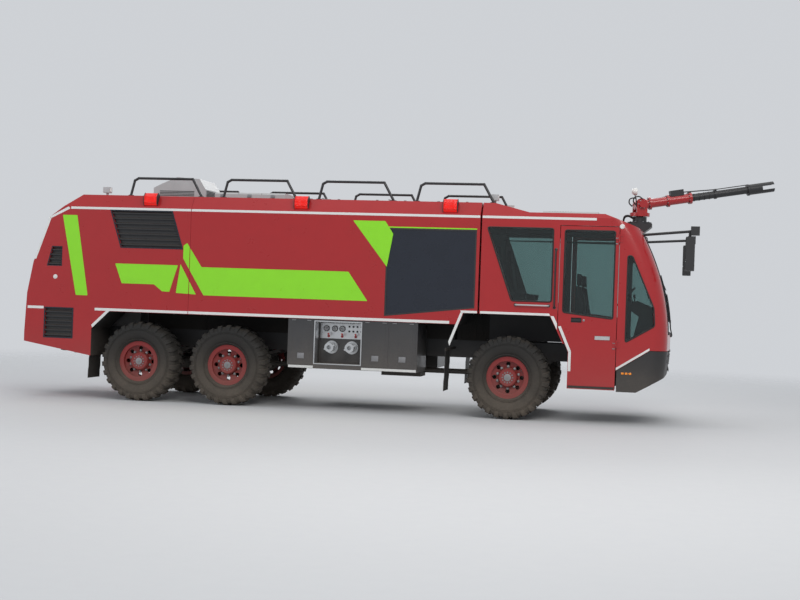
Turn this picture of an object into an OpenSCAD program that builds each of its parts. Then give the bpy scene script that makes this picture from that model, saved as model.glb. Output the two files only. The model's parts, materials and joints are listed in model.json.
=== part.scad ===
/* [Chassis] */
// Distance from the front axle to the middle axle
wheelbase = 4800; // [4700:20:4900]
// Distance between the middle axle and the rear axle
tandem = 1600; // [1520:10:1700]
// Distance between the wheel centres across the vehicle
track = 2400; // [2380:5:2430]
// Width over the two frame rails
frame_w = 900; // [880:10:920]
// Height of the top of the frame rails above the ground
rail_top = 1250; // [1235:5:1265]
/* [Tyres and rims] */
// Outer diameter of a tyre
tyre_d = 1370; // [1340:5:1390]
// Width of a tyre
tyre_w = 560; // [520:5:570]
// Diameter of the rim where the tyre sits
rim_d = 620; // [600:5:640]
// Hand holes in each wheel disc
hand_holes = 8; // [6:1:9]
/* [Body] */
// Width over the side panels
body_w = 3000; // [2980:5:3040]
// Height of the edge where the roof chamfer starts
cant_z = 3330; // [3300:5:3360]
// Height of the flat roof deck of the body
deck_z = 3550; // [3530:5:3600]
// Height of the lower edge of the body side
skirt_z = 1530; // [1510:5:1550]
// Height of the lower edge of the lockers between the axles
sill_z = 700; // [660:5:740]
// Distance from the rear axle to the tail
rear_overhang = 2100; // [2050:10:2200]
// Thickness of the hollow walls of cab, doors and tail
wall = 60; // [50:1:66]
/* [Cab] */
// Distance from the front axle to the tip of the nose
nose_x = 2600; // [2570:5:2640]
// Side view radius of the curved front
front_r = 3600; // [3500:20:3800]
// Height of the cab floor over the ground
floor_z = 1280; // [1270:2:1290]
// Height of the top of the front wheel arch
arch_z = 1720; // [1700:5:1740]
// Height of the flat cab roof
cab_roof_z = 3400; // [3390:5:3420]
// Radius of the front corners seen from above
corner_r = 280; // [250:5:285]
// Thickness of the glass
glass_t = 12; // [8:1:16]
// Gap round doors and hatches
door_gap = 10; // [9:1:12]
/* [Roof] */
// Number of rail hoops on each side of the roof
hoops = 4; // [3:1:4]
// Length of one rail hoop
hoop_l = 1280; // [1100:10:1400]
// Distance from one rail hoop to the next
hoop_pitch = 1690; // [1600:10:1720]
// Height of a rail hoop above the deck
hoop_h = 310; // [250:5:380]
// Diameter of the tube of a rail hoop
hoop_tube = 44; // [36:1:50]
/* [Monitor] */
// Place of the roof monitor ahead of the front axle
monitor_x = 2020; // [1990:5:2025]
// Height of the pitch axis of the monitor
monitor_z = 3670; // [3665:5:3720]
// Length of the monitor barrel from its pitch axis to its tip
barrel_l = 2350; // [2250:10:2400]
// Angle that the monitor points to the left of straight ahead
monitor_yaw = 15; // [10:1:20]
// Angle that the barrel points up
monitor_pitch = 10; // [5:1:12]
/* [Hidden] */
$fn = 48;

// Stations along the vehicle, from the front axle, forward positive
mid_x = -wheelbase;
rear_x = -wheelbase - tandem;
tail_x = rear_x - rear_overhang;
cab_x0 = -490;
body_x1 = cab_x0 - 30;
tank_x0 = mid_x - 700;
half_w = body_w / 2;
hub_z = tyre_d / 2;
rail_z = rail_top - 300;
rail_y = frame_w / 2;
wheel_y = track / 2;

// The tip of the barrel and the tail set the middle of the vehicle
tip_r = 90;
tip_dx = cos(monitor_yaw) * cos(monitor_pitch);
front_most = monitor_x + barrel_l * tip_dx + tip_r * sqrt(1 - tip_dx * tip_dx);
x_origin = -(front_most + tail_x) / 2;

// Moves to a station measured from the front axle
module at(x, y, z) {
    translate([x + x_origin, y, z]) children();
}
// A path in the side view (x, z), as a slab from y0 to y1
module side_slab(points, y0, y1) {
    at(0, y1, 0) rotate([90, 0, 0]) linear_extrude(y1 - y0) polygon(points);
}
// A path in the end view (y, z), as a slab from x0 to x1
module end_slab(points, x0, x1) {
    at(x0, 0, 0) rotate([90, 0, 90]) linear_extrude(x1 - x0) polygon(points);
}
module box(x0, x1, y0, y1, z0, z1) {
    at(x0, y0, z0) cube([x1 - x0, y1 - y0, z1 - z0]);
}
module both_sides() {
    children();
    mirror([0, 1, 0]) children();
}
module x_rod(x0, x1, y, z, r) {
    at(x0, y, z) rotate([0, 90, 0]) cylinder(h = x1 - x0, r = r);
}
module y_rod(x, y0, y1, z, r) {
    at(x, y0, z) rotate([-90, 0, 0]) cylinder(h = y1 - y0, r = r);
}
module z_rod(x, y, z0, z1, r) {
    at(x, y, z0) cylinder(h = z1 - z0, r = r);
}
// A round tube between two points, with a slightly fatter ball at each end
module tube_between(a, b, r) {
    v = b - a;
    at(a[0], a[1], a[2]) rotate([0, acos(v[2] / norm(v)), atan2(v[1], v[0])])
        cylinder(h = norm(v), r = r, $fn = 16);
    for (p = [a, b]) at(p[0], p[1], p[2]) sphere(r = r * 1.08, $fn = 16);
}
function unit_normal(a, b) = let (v = b - a) [v[1], -v[0]] / norm(v);
// A closed counter-clockwise path, moved outward by d
function offset_path(p, d) = [for (i = [0:len(p) - 1]) let (
    n1 = unit_normal(p[(i + len(p) - 1) % len(p)], p[i]),
    n2 = unit_normal(p[i], p[(i + 1) % len(p)])) p[i] + d * (n1 + n2) / (1 + n1 * n2)];

// Cross-section of cab and body: upright sides and chamfered roof edges
section = [[-half_w, 400], [half_w, 400], [half_w, cant_z], [half_w - 140, deck_z],
    [-half_w + 140, deck_z], [-half_w, cant_z]];

// Wheel arches in the side view
arch_half = 970;
front_arch = [[-arch_half, 300], [arch_half - 10, 300], [arch_half - 10, 1140], [670, arch_z],
    [-750, arch_z], [-arch_half, 1150]];
rear_arch_x0 = rear_x - 850;

// Height and centre of the curved front
front_cz = 1350;
front_cx = nose_x - front_r;
function nose_at(z) = front_cx + sqrt(front_r * front_r - (z - front_cz) * (z - front_cz));
corner_y = half_w - corner_r;
bow = 40;
brow_x = nose_at(3170);
// Start and fall of the sloping brow of the roof
brow_x0 = 1500;
brow_slope = 0.38;
// Where the straight cab body meets the swept front
blend_x = 1550;
plan_r0 = blend_x - 50 - front_cx;

// Plan of the front: radius from the sweep centre against width, wall inset by d
module front_plan(d) {
    polygon([[plan_r0, -half_w + d], [front_r - bow - corner_r, -half_w + d],
        [front_r - bow - corner_r, -corner_y],
        [front_r - bow - d, -corner_y], [front_r - d, -600], [front_r - d, 600],
        [front_r - bow - d, corner_y], [front_r - bow - corner_r, corner_y],
        [front_r - bow - corner_r, half_w - d], [plan_r0, half_w - d]]);
    for (side = [-1, 1]) translate([front_r - bow - corner_r, side * corner_y]) circle(r = corner_r - d);
}
// The cab filled in, with every wall inset by d
module cab_solid(d) {
    intersection() {
        union() {
            box(cab_x0 + d, blend_x, -half_w + d, half_w - d, 400, 3500);
            at(front_cx, 0, front_cz) rotate([90, 0, 0]) rotate([0, 0, -22])
                rotate_extrude(angle = 78, $fn = 300) front_plan(d);
        }
        end_slab(offset_path(section, -d), cab_x0, nose_x + 100);
        side_slab(offset_path([[cab_x0, 300], [nose_x + 400, 300],
            [nose_x + 400, cab_roof_z - brow_slope * (nose_x + 400 - brow_x0)], [brow_x0, cab_roof_z],
            [cab_x0, cab_roof_z]], -d),
            -half_w, half_w);
    }
}
// Lower edge of the painted cab panels ahead of the door
cab_side_path = [[cab_x0 - 10, floor_z], [1748, floor_z], [1748, 880], [2280, 1220], [nose_x + 100, 1220],
    [nose_x + 100, 3600], [cab_x0 - 10, 3600]];

// Doors and windows in the side view
door_x0 = 800;
door_x1 = 1740;
door_top = 3190;
door_low = 560;
door_path = [[arch_half + 8, door_low], [door_x1, door_low], [door_x1, door_top], [door_x0, door_top],
    [door_x0, 1560], [arch_half + 8, 1150]];
door_window = [[door_x0 + 85, 1800], [door_x1 - 75, 1720], [door_x1 - 75, door_top - 80],
    [door_x0 + 85, door_top - 80]];
crew_window = [[40, 1960], [670, 1960], [670, door_top - 60], [-380, door_top - 60]];
quarter_window = [[1900, 1360], [2330, 1620], [2310, 1900], [1950, 2720], [1900, 2720]];
screen_path = [[-corner_y + 40, 1500], [corner_y - 40, 1500], [corner_y - 80, 3060], [-corner_y + 80, 3060]];
seal = 0.5;

// Chassis
rail_end = 1740;
jaw_z = 760;
module frame_rails() {
    color([0.13, 0.13, 0.14]) both_sides() end_slab([[rail_y - 90, rail_z], [rail_y, rail_z],
        [rail_y, rail_top],
        [rail_y - 90, rail_top], [rail_y - 90, rail_top - 14], [rail_y - 14, rail_top - 14],
        [rail_y - 14, rail_z + 14], [rail_y - 90, rail_z + 14]], tail_x + 550, rail_end);
}
module cross_members() {
    color([0.13, 0.13, 0.14]) {
        for (x = [rear_x + 800, mid_x + 900, -2600, -1100, 900])
            box(x, x + 120, -rail_y + 14, rail_y - 14, rail_z + 120, rail_top - 40);
        both_sides() for (x = [1100, 1500]) box(x, x + 120, rail_y - 90, rail_y, rail_top, floor_z);
        both_sides() box(rail_end - 120, rail_end, rail_y - 90, rail_y, 700, rail_z);
        box(rail_end - 120, rail_end, -rail_y - 50, rail_y + 50, 580, 700);
        box(tail_x + 480, tail_x + 550, -rail_y, rail_y, jaw_z - 20, rail_top);
        tow_jaw();
    }
}
// Rear towing jaw with its upright pin hole
jaw_x = tail_x + 90;
module tow_jaw() {
    difference() {
        union() {
            for (z = [jaw_z, jaw_z + 110]) {
                box(jaw_x, tail_x + 480, -80, 80, z, z + 40);
                z_rod(jaw_x, 0, z, z + 40, 80);
            }
            box(jaw_x + 220, tail_x + 480, -80, 80, jaw_z + 20, jaw_z + 130);
        }
        z_rod(jaw_x, 0, jaw_z - 60, jaw_z + 240, 20.5);
    }
}
module engine_block() {
    color([0.36, 0.37, 0.39]) box(tail_x + 420, tail_x + 1720, -430, 430, rail_top, 2250);
}
// Reach of the pinion housings from the axle centre
pinion = 290;
module driveline() {
    color([0.25, 0.25, 0.27]) {
        box(-2350, -1650, -240, 240, hub_z - 110, rail_z + 80);
        x_rod(-1650, -pinion - 0.3, 0, hub_z, 45);
        x_rod(mid_x + pinion + 0.3, -2350, 0, hub_z, 45);
        x_rod(rear_x + pinion + 0.3, mid_x - pinion - 0.3, 0, hub_z, 45);
    }
}
spring_y0 = rail_y - 80;
spring_z = hub_z + 105;
module leaf_springs() {
    color([0.18, 0.18, 0.2])
        both_sides() for (x = [0, mid_x, rear_x]) side_slab([
            [x - 640, rail_z - 40], [x - 320, spring_z + 30], [x - 90, spring_z], [x + 90, spring_z],
            [x + 320, spring_z + 30], [x + 640, rail_z - 40], [x + 640, rail_z], [x + 600, rail_z],
            [x + 320, spring_z + 85], [x + 90, spring_z + 75],
            [x - 90, spring_z + 75], [x - 320, spring_z + 85],
            [x - 600, rail_z], [x - 640, rail_z]], spring_y0, spring_y0 + 70);
}
// A driven beam axle at station x, its beam reaching to |y| = reach
module beam_axle(x, reach) {
    y_rod(x, -reach, reach, hub_z, 80);
    at(x, 0, hub_z) sphere(r = 205);
    x_rod(x - pinion, x + (x == rear_x ? 0 : pinion), 0, hub_z, 90);
    both_sides() box(x - 85, x + 85, spring_y0, spring_y0 + 70, hub_z, spring_z);
}
king_y = wheel_y - 250;
module front_axle() {
    color([0.16, 0.16, 0.17]) difference() {
        union() {
            beam_axle(0, king_y);
            both_sides() z_rod(0, king_y, hub_z - 88, hub_z + 88, 72);
        }
        both_sides() z_rod(0, king_y, hub_z - 200, hub_z + 200, 30.06);
    }
}
module driven_axle(x) {
    color([0.16, 0.16, 0.17]) {
        beam_axle(x, wheel_y - 140);
        both_sides() {
            y_rod(x, wheel_y - 250, wheel_y - 130, hub_z, 210);
            y_rod(x, wheel_y - 140, wheel_y + 90, hub_z, 60);
        }
    }
}
module axles() {
    front_axle();
    driven_axle(mid_x);
    driven_axle(rear_x);
}
// The steered hub carrier on the left: a fork round the axle end, and the stub axle
module knuckle() {
    color([0.2, 0.2, 0.21]) {
        z_rod(0, king_y, hub_z - 135, hub_z + 135, 30);
        for (z = [hub_z - 135, hub_z + 95]) {
            z_rod(0, king_y, z, z + 40, 70);
            box(-70, 70, king_y, king_y + 110, z, z + 40);
        }
        box(-70, 70, king_y + 82, king_y + 110, hub_z - 135, hub_z + 135);
        y_rod(0, king_y + 100, king_y + 130, hub_z, 190);
        y_rod(0, king_y + 110, wheel_y + 90, hub_z, 60);
    }
}
module knuckle_left() {
    knuckle();
}
module knuckle_right() {
    mirror([0, 1, 0]) knuckle();
}

// Wheels: profiles are radius against distance outward from the wheel centre
tyre_r = tyre_d / 2;
rim_r = rim_d / 2;
tyre_h = tyre_w / 2;
bead = 185;
tyre_profile = [[rim_r, -bead], [rim_r + 35, -bead], [rim_r + 150, -tyre_h], [tyre_r - 85, -tyre_h + 4],
    [tyre_r - 22, -tyre_h + 42], [tyre_r, -tyre_h + 80], [tyre_r, tyre_h - 80], [tyre_r - 22, tyre_h - 42],
    [tyre_r - 85, tyre_h - 4], [rim_r + 150, tyre_h], [rim_r + 35, bead], [rim_r, bead]];
rim_profile = [[60.08, -95], [150, -95], [150, 60], [rim_r - 28, 88], [rim_r - 28, -bead - 15],
    [rim_r + 32, -bead - 15], [rim_r + 32, -bead - 1], [rim_r - 1, -bead - 1], [rim_r - 1, bead + 1],
    [rim_r + 32, bead + 1], [rim_r + 32, bead + 15], [rim_r - 28, bead + 15], [rim_r - 28, 122], [165, 100],
    [150, 175], [135, 190], [60.08, 190]];
module wheel_place(x, side) {
    at(x, side * wheel_y, hub_z) rotate([-90 * side, 0, 0]) children();
}
module tyre(x, side) {
    color([0.05, 0.05, 0.05]) wheel_place(x, side) rotate_extrude($fn = 64) polygon(tyre_profile);
}
module rim(x, side) {
    color([0.5, 0.06, 0.05]) wheel_place(x, side) difference() {
        union() {
            rotate_extrude(convexity = 6) polygon(rim_profile);
            translate([0, 0, 150]) cylinder(h = 40, r = 100);
        }
        for (i = [0:hand_holes - 1]) rotate([0, 0, i * 360 / hand_holes])
            translate([225, 0, 40]) cylinder(h = 140, r = 36, $fn = 24);
    }
}
module tyre_front_left() tyre(0, 1);
module tyre_front_right() tyre(0, -1);
module tyre_middle_left() tyre(mid_x, 1);
module tyre_middle_right() tyre(mid_x, -1);
module tyre_rear_left() tyre(rear_x, 1);
module tyre_rear_right() tyre(rear_x, -1);
module rim_front_left() rim(0, 1);
module rim_front_right() rim(0, -1);
module rim_middle_left() rim(mid_x, 1);
module rim_middle_right() rim(mid_x, -1);
module rim_rear_left() rim(rear_x, 1);
module rim_rear_right() rim(rear_x, -1);

// Cab
module window_cuts(gap) {
    both_sides() {
        side_slab(offset_path(crew_window, -gap), half_w - 300, half_w + 50);
        side_slab(offset_path(quarter_window, -gap), half_w - 500, half_w + 50);
    }
    end_slab(offset_path(screen_path, -gap), 1800, nose_x + 100);
}
well_y = 1000;
module cab_shell() {
    color([0.6, 0.05, 0.05]) {
        difference() {
            intersection() {
                cab_solid(0);
                side_slab(cab_side_path, -half_w, half_w);
            }
            cab_solid(wall);
            both_sides() {
                side_slab(front_arch, 530, half_w + 50);
                side_slab(offset_path(door_path, door_gap), half_w - wall - 6, half_w + 50);
            }
            window_cuts(0);
            // Holes for the mirror arms
            both_sides() x_rod(brow_x - 200, brow_x + 60, mirror_y, mirror_z, 30.06);
        }
        roof_fairing();
        both_sides() for (z = hinge_heights) cab_hinge(z);
    }
}
// Floor pan with the housings over the front wheels and the wells of the entry steps
floor_gap = 0.3;
tread_depth = 108;
tread_rise = 240;
module cab_floor() {
    color([0.16, 0.16, 0.17]) difference() {
        union() {
            intersection() {
                cab_solid(wall + floor_gap);
                union() {
                    box(cab_x0, nose_x, -half_w, half_w, floor_z, floor_z + 60);
                    both_sides() side_slab(offset_path(front_arch, 40), 490, half_w);
                }
                box(cab_x0, nose_x, -half_w, half_w, floor_z, cab_roof_z);
            }
            both_sides() box(990, 1730, well_y, half_w - wall - 10, 560, floor_z + 60);
        }
        both_sides() {
            side_slab(front_arch, 530, half_w + 50);
            for (i = [0:2]) box(1010, 1710, well_y + 20 + (2 - i) * tread_depth, half_w,
                590 + i * tread_rise,
                floor_z + 61);
        }
    }
}
// Door hinges: an upright pin ahead of the door, between two ears on the cab
hinge_heights = [1250, door_top - 240];
hinge_x = door_x1 + door_gap / 2;
hinge_y = half_w + 14;
ear_h = 30;
leaf_h = 60;
module cab_hinge(z) {
    z_rod(hinge_x, hinge_y, z, z + 2 * ear_h + leaf_h + 2, 8);
    for (ear_z = [z, z + ear_h + leaf_h + 2]) {
        z_rod(hinge_x, hinge_y, ear_z, ear_z + ear_h, 14);
        box(hinge_x, hinge_x + 55, half_w - 3, half_w + 12, ear_z, ear_z + ear_h);
    }
}
module door_hinge(z) {
    difference() {
        union() {
            z_rod(hinge_x, hinge_y, z + ear_h + 1, z + ear_h + 1 + leaf_h, 14);
            box(hinge_x - 60, hinge_x, half_w - 3, half_w + 12, z + ear_h + 1, z + ear_h + 1 + leaf_h);
        }
        z_rod(hinge_x, hinge_y, z, z + 200, 8.06);
        box(hinge_x - door_gap / 2 - 2, hinge_x + 20, half_w - 10, half_w, z, z + 200);
    }
}
// Wedge that brings the body's roof line down onto the cab roof
module roof_fairing() {
    intersection() {
        side_slab([[cab_x0, cab_roof_z - 10], [280, cab_roof_z - 10], [280, cab_roof_z], [-300, deck_z],
            [cab_x0, deck_z]], -half_w, half_w);
        end_slab(section, cab_x0, 300);
    }
}
module cab_glazing() {
    color([0.1, 0.14, 0.15, 0.5]) intersection() {
        difference() {
            cab_solid(22);
            cab_solid(22 + glass_t);
        }
        window_cuts(seal);
    }
}
// One seat, its back at station x, its middle at y, standing on height z
module seat(x, y, z) {
    side_slab([[x + 60, z], [x + 460, z], [x + 460, z + 225], [x + 60, z + 210]], y - 150, y + 150);
    side_slab([[x, z + 200], [x + 500, z + 220], [x + 520, z + 320], [x + 130, z + 330], [x + 40, z + 880],
        [x - 50, z + 890], [x - 50, z + 300]], y - 240, y + 240);
    side_slab([[x - 40, z + 910], [x + 40, z + 900], [x + 30, z + 1090], [x - 40, z + 1100]],
        y - 140, y + 140);
    box(x - 30, x, y - 60, y + 60, z + 880, z + 920);
}
module cab_seats() {
    color([0.12, 0.12, 0.14]) both_sides() {
        seat(1080, 650, floor_z + 60);
        seat(-280, 900, arch_z + 40);
    }
}
// Moves to the steering wheel's hub, with the column pointing down into the dashboard
module at_wheel() {
    at(1822, 650, 2098) rotate([0, -47, 0]) children();
}
column_l = 210;
column_r = 30;
module dashboard() {
    color([0.09, 0.09, 0.1]) difference() {
        side_slab([[1980, floor_z + 60], [2360, floor_z + 60], [2400, 1480], [2340, 1900], [2050, 2020],
            [1930, 1960], [1930, 1860], [2080, 1760]], -1050, 1050);
        at_wheel() translate([0, 0, -column_l - 0.3]) cylinder(h = 400, r = column_r + 0.3);
        // Recess of the instrument panel in front of the driver
        at(1925, 480, 1880) cube([40, 340, 60]);
    }
}
module steering_wheel() {
    color([0.07, 0.07, 0.07]) at_wheel() {
        rotate_extrude() translate([210, 0]) circle(r = 16, $fn = 16);
        cylinder(h = 24, r = 45);
        translate([0, 0, -column_l]) cylinder(h = column_l + 1, r = column_r);
        for (a = [90, 210, 330]) rotate([0, 0, a]) translate([30, -14, 2]) cube([172, 28, 10]);
    }
}
module front_bumper() {
    color([0.1, 0.1, 0.11]) difference() {
        intersection() {
            cab_solid(0);
            side_slab([[1765, 880], [1765, 540], [2080, 540], [nose_x - 60, 800], [nose_x + 60, 960],
                [nose_x + 60, 1214], [2283, 1214]], -half_w, half_w);
        }
        box(1700, nose_x - 260, -half_w + 220, half_w - 220, 640, 1300);
        both_sides() {
            x_rod(nose_x - 170, nose_x + 100, 900, 1090, 92);
            x_rod(nose_x - 170, nose_x + 100, 1130, 1090, 72);
        }
    }
    color([0.1, 0.1, 0.11]) both_sides() box(rail_end, nose_x - 250, rail_y - 90, rail_y, 780, 870);
}

// Doors, drawn on the left
handle_z = 1670;
module door() {
    color([0.6, 0.05, 0.05]) difference() {
        side_slab(door_path, half_w - wall, half_w);
        side_slab(door_window, half_w - 200, half_w + 50);
        box(1010, 1180, half_w - 24, half_w + 10, handle_z - 40, handle_z + 40);
    }
    color([0.08, 0.08, 0.08]) {
        box(1000, 1190, half_w - 25, half_w - 6, handle_z - 12, handle_z + 12);
        for (z = hinge_heights) door_hinge(z);
    }
}
module door_pane() {
    color([0.1, 0.14, 0.15, 0.5])
        side_slab(offset_path(door_window, -seal), half_w - 22 - glass_t, half_w - 22);
}
module door_left() {
    door();
}
module door_right() {
    mirror([0, 1, 0]) door();
}
module door_glass_left() {
    door_pane();
}
module door_glass_right() {
    mirror([0, 1, 0]) door_pane();
}
mirror_y = half_w - 320;
mirror_z = 3090;
arm_x = nose_x + 250;
module mirrors() {
    color([0.07, 0.07, 0.08]) both_sides() {
        x_rod(brow_x - 46, brow_x + 20, mirror_y, mirror_z, 30);
        tube_between([brow_x, mirror_y, mirror_z], [arm_x, mirror_y + 240, mirror_z + 60], 22);
        tube_between([arm_x, mirror_y + 240, mirror_z + 60], [arm_x, mirror_y + 240, mirror_z - 40], 22);
        box(arm_x - 60, arm_x + 80, half_w - 180, half_w + 60, mirror_z - 570, mirror_z - 30);
        box(arm_x + 12, arm_x + 150, half_w - 160, half_w, mirror_z, mirror_z + 140);
    }
}

// Body
rear_profile = [[tail_x, 960], [rear_arch_x0, 750], [rear_arch_x0, 1220], [rear_arch_x0 + 320, skirt_z],
    [tank_x0 - 4, skirt_z], [tank_x0 - 4, deck_z], [tail_x + 960, deck_z], [tail_x + 410, cant_z - 190],
    [tail_x + 130, 2350], [tail_x + 30, 1810], [tail_x, 1140]];
bay_y = 700;
hatch_z0 = 1500;
hatch_z1 = 2900;
// Skin of the tail at the height of the hatch top, and the hinge pin just outside it
function tail_skin(z) = tail_x + 130 + (z - 2350) * 280 / (cant_z - 190 - 2350);
hatch_pin_z = hatch_z1 - door_gap / 2;
hatch_pin_x = tail_skin(hatch_pin_z) - 18;
hatch_ear_y = 350;
louvre_path = [[tail_x + 1750, 2650], [tail_x + 2850, 2650], [tail_x + 2650, 3270], [tail_x + 1550, 3270]];
lower_louvre_path = [[tail_x + 380, 1050], [tail_x + 890, 1050], [tail_x + 890, 1550], [tail_x + 380, 1550]];
upper_vent_path = [[tail_x + 400, 2300], [tail_x + 650, 2300], [tail_x + 650, 2620], [tail_x + 480, 2620]];
module tank_body() {
    color([0.6, 0.05, 0.05]) difference() {
        union() {
            intersection() {
                end_slab(section, tank_x0, body_x1);
                box(tank_x0, body_x1, -half_w, half_w, skirt_z, deck_z);
            }
            box(tank_x0, -1030, -rail_y - 40, rail_y + 40, rail_top, skirt_z + 10);
        }
        side_slab(front_arch, -half_w - 10, half_w + 10);
        both_sides() side_slab([[-2080, 1620], [-570, 1800], [-570, 3090], [-2080, 3090]],
            half_w - 12, half_w + 10);
    }
}
module rear_body() {
    color([0.6, 0.05, 0.05]) difference() {
        union() {
            intersection() {
                side_slab(rear_profile, -half_w, half_w);
                end_slab(section, tail_x - 10, tank_x0);
            }
            box(tail_x + 1900, tank_x0 - 4, -rail_y - 40, rail_y + 40, rail_top, skirt_z + 10);
        }
        intersection() {
            side_slab(offset_path(rear_profile, -wall), -bay_y, bay_y);
            box(tail_x, tail_x + 1800, -bay_y, bay_y, 400, hatch_z1 + 60);
        }
        box(tail_x + 200, tail_x + 1800, -bay_y, bay_y, 400, 1600);
        box(tail_x - 10, tail_x + 470, -bay_y, bay_y, hatch_z0, hatch_z1);
        both_sides() for (p = [louvre_path, lower_louvre_path, upper_vent_path])
            side_slab(p, half_w - 60, half_w + 20);
        both_sides() box(tail_x - 10, tail_x + 50, 900, 1350, 1180, 1420);
    }
    color([0.6, 0.05, 0.05]) both_sides() {
        y_rod(hatch_pin_x, hatch_ear_y, hatch_ear_y + 100, hatch_pin_z, 8);
        for (y = [hatch_ear_y, hatch_ear_y + 70]) {
            y_rod(hatch_pin_x, y, y + 30, hatch_pin_z, 14);
            box(hatch_pin_x - 8, hatch_pin_x + 50, y, y + 30, hatch_pin_z + 6, hatch_pin_z + 60);
        }
    }
}
// Rows of slats that fill the openings of the body side
louvre_table = [
    // path, lowest slat, rise from slat to slat, number of slats
    [louvre_path, 2690, 90, 7],
    [lower_louvre_path, 1085, 80, 6],
    [upper_vent_path, 2325, 80, 4]];
module side_louvres() {
    color([0.06, 0.06, 0.07]) both_sides() for (row = louvre_table) {
        side_slab(offset_path(row[0], -1), half_w - 60, half_w - 40);
        intersection() {
            side_slab(offset_path(row[0], -1), half_w - 60, half_w);
            for (i = [0:row[3] - 1]) end_slab([[half_w - 45, row[1] + i * row[2] + 30],
                [half_w - 45, row[1] + i * row[2] + 12], [half_w - 4, row[1] + i * row[2] - 8],
                [half_w - 4, row[1] + i * row[2] + 10]], tail_x + 300, tail_x + 3000);
        }
    }
}
module rear_hatch() {
    color([0.6, 0.05, 0.05]) difference() {
        intersection() {
            difference() {
                side_slab(rear_profile, -bay_y + door_gap, bay_y - door_gap);
                side_slab(offset_path(rear_profile, -wall), -bay_y, bay_y);
            }
            box(tail_x - 10, tail_x + 500, -bay_y, bay_y, hatch_z0 + door_gap, hatch_z1 - door_gap);
        }
        for (i = [0:6]) box(tail_x - 10, tail_x + 500, -520, 520, 1640 + i * 90, 1680 + i * 90);
    }
    color([0.6, 0.05, 0.05]) both_sides() difference() {
        union() {
            y_rod(hatch_pin_x, hatch_ear_y + 31, hatch_ear_y + 69, hatch_pin_z, 14);
            box(hatch_pin_x - 8, hatch_pin_x + 50, hatch_ear_y + 31, hatch_ear_y + 69,
                hatch_pin_z - 60, hatch_pin_z - 6);
        }
        y_rod(hatch_pin_x, hatch_ear_y, hatch_ear_y + 100, hatch_pin_z, 8.06);
    }
}
locker_x0 = -3720;
bay_x0 = -3250;
bay_x1 = -2460;
module lower_lockers() {
    color([0.55, 0.05, 0.05]) both_sides() difference() {
        side_slab([[locker_x0, sill_z + 60], [locker_x0 + 60, sill_z], [-1500, sill_z], [-1500, skirt_z - 4],
            [locker_x0, skirt_z - 4]], 620, half_w - 10);
        box(bay_x0, bay_x1, half_w - 330, half_w + 10, sill_z + 90, skirt_z - 40);
    }
    color([0.13, 0.13, 0.14]) both_sides() for (x = [locker_x0 + 150, -1750])
        box(x, x + 100, rail_y, 620, rail_z + 100, rail_top - 50);
}
module hose_outlets() {
    color([0.6, 0.6, 0.62]) both_sides() for (x = [bay_x0 + 220, bay_x1 - 220]) difference() {
        union() {
            y_rod(x, half_w - 330, half_w - 130, 1060, 55);
            y_rod(x, half_w - 330, half_w - 310, 1060, 110);
            y_rod(x, half_w - 160, half_w - 110, 1060, 78);
        }
        y_rod(x, half_w - 250, half_w - 100, 1060, 37.5);
    }
}
module lamps() {
    color([0.9, 0.9, 0.85]) both_sides() {
        x_rod(nose_x - 170, nose_x - 70, 900, 1090, 88);
        x_rod(nose_x - 170, nose_x - 95, 1130, 1090, 68);
    }
    color([0.7, 0.05, 0.05]) both_sides() for (y = [910, 1060, 1210])
        box(tail_x + 12, tail_x + 50, y, y + 130, 1190, 1410);
}
beacon_stations = [-6250, -3570, -1030];
module roof_beacons() {
    color([0.7, 0.05, 0.04]) both_sides() for (x = beacon_stations)
        end_slab([[half_w - 70, cant_z + 110], [half_w - 20, cant_z + 50], [half_w + 6, cant_z + 90],
            [half_w + 6, cant_z + 200], [half_w - 60, cant_z + 260], [half_w - 125, cant_z + 215]],
            x - 120, x + 120);
}
rail_line_y = half_w - 240;
module roof_rails() {
    color([0.06, 0.06, 0.07]) both_sides() {
        for (i = [0:hoops - 1]) {
            x0 = -6700 + i * hoop_pitch;
            top = deck_z + hoop_h;
            foot = deck_z + hoop_tube / 2 + 4;
            tube_between([x0, rail_line_y, foot], [x0 + 60, rail_line_y, top - 40], hoop_tube / 2);
            tube_between([x0 + 60, rail_line_y, top - 40], [x0 + 130, rail_line_y, top], hoop_tube / 2);
            tube_between([x0 + 130, rail_line_y, top], [x0 + hoop_l - 160, rail_line_y, top], hoop_tube / 2);
            tube_between([x0 + hoop_l - 160, rail_line_y, top], [x0 + hoop_l, rail_line_y, foot],
                hoop_tube / 2);
            for (x = [x0, x0 + hoop_l]) z_rod(x, rail_line_y, deck_z, deck_z + 14, 50);
        }
    }
}

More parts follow.
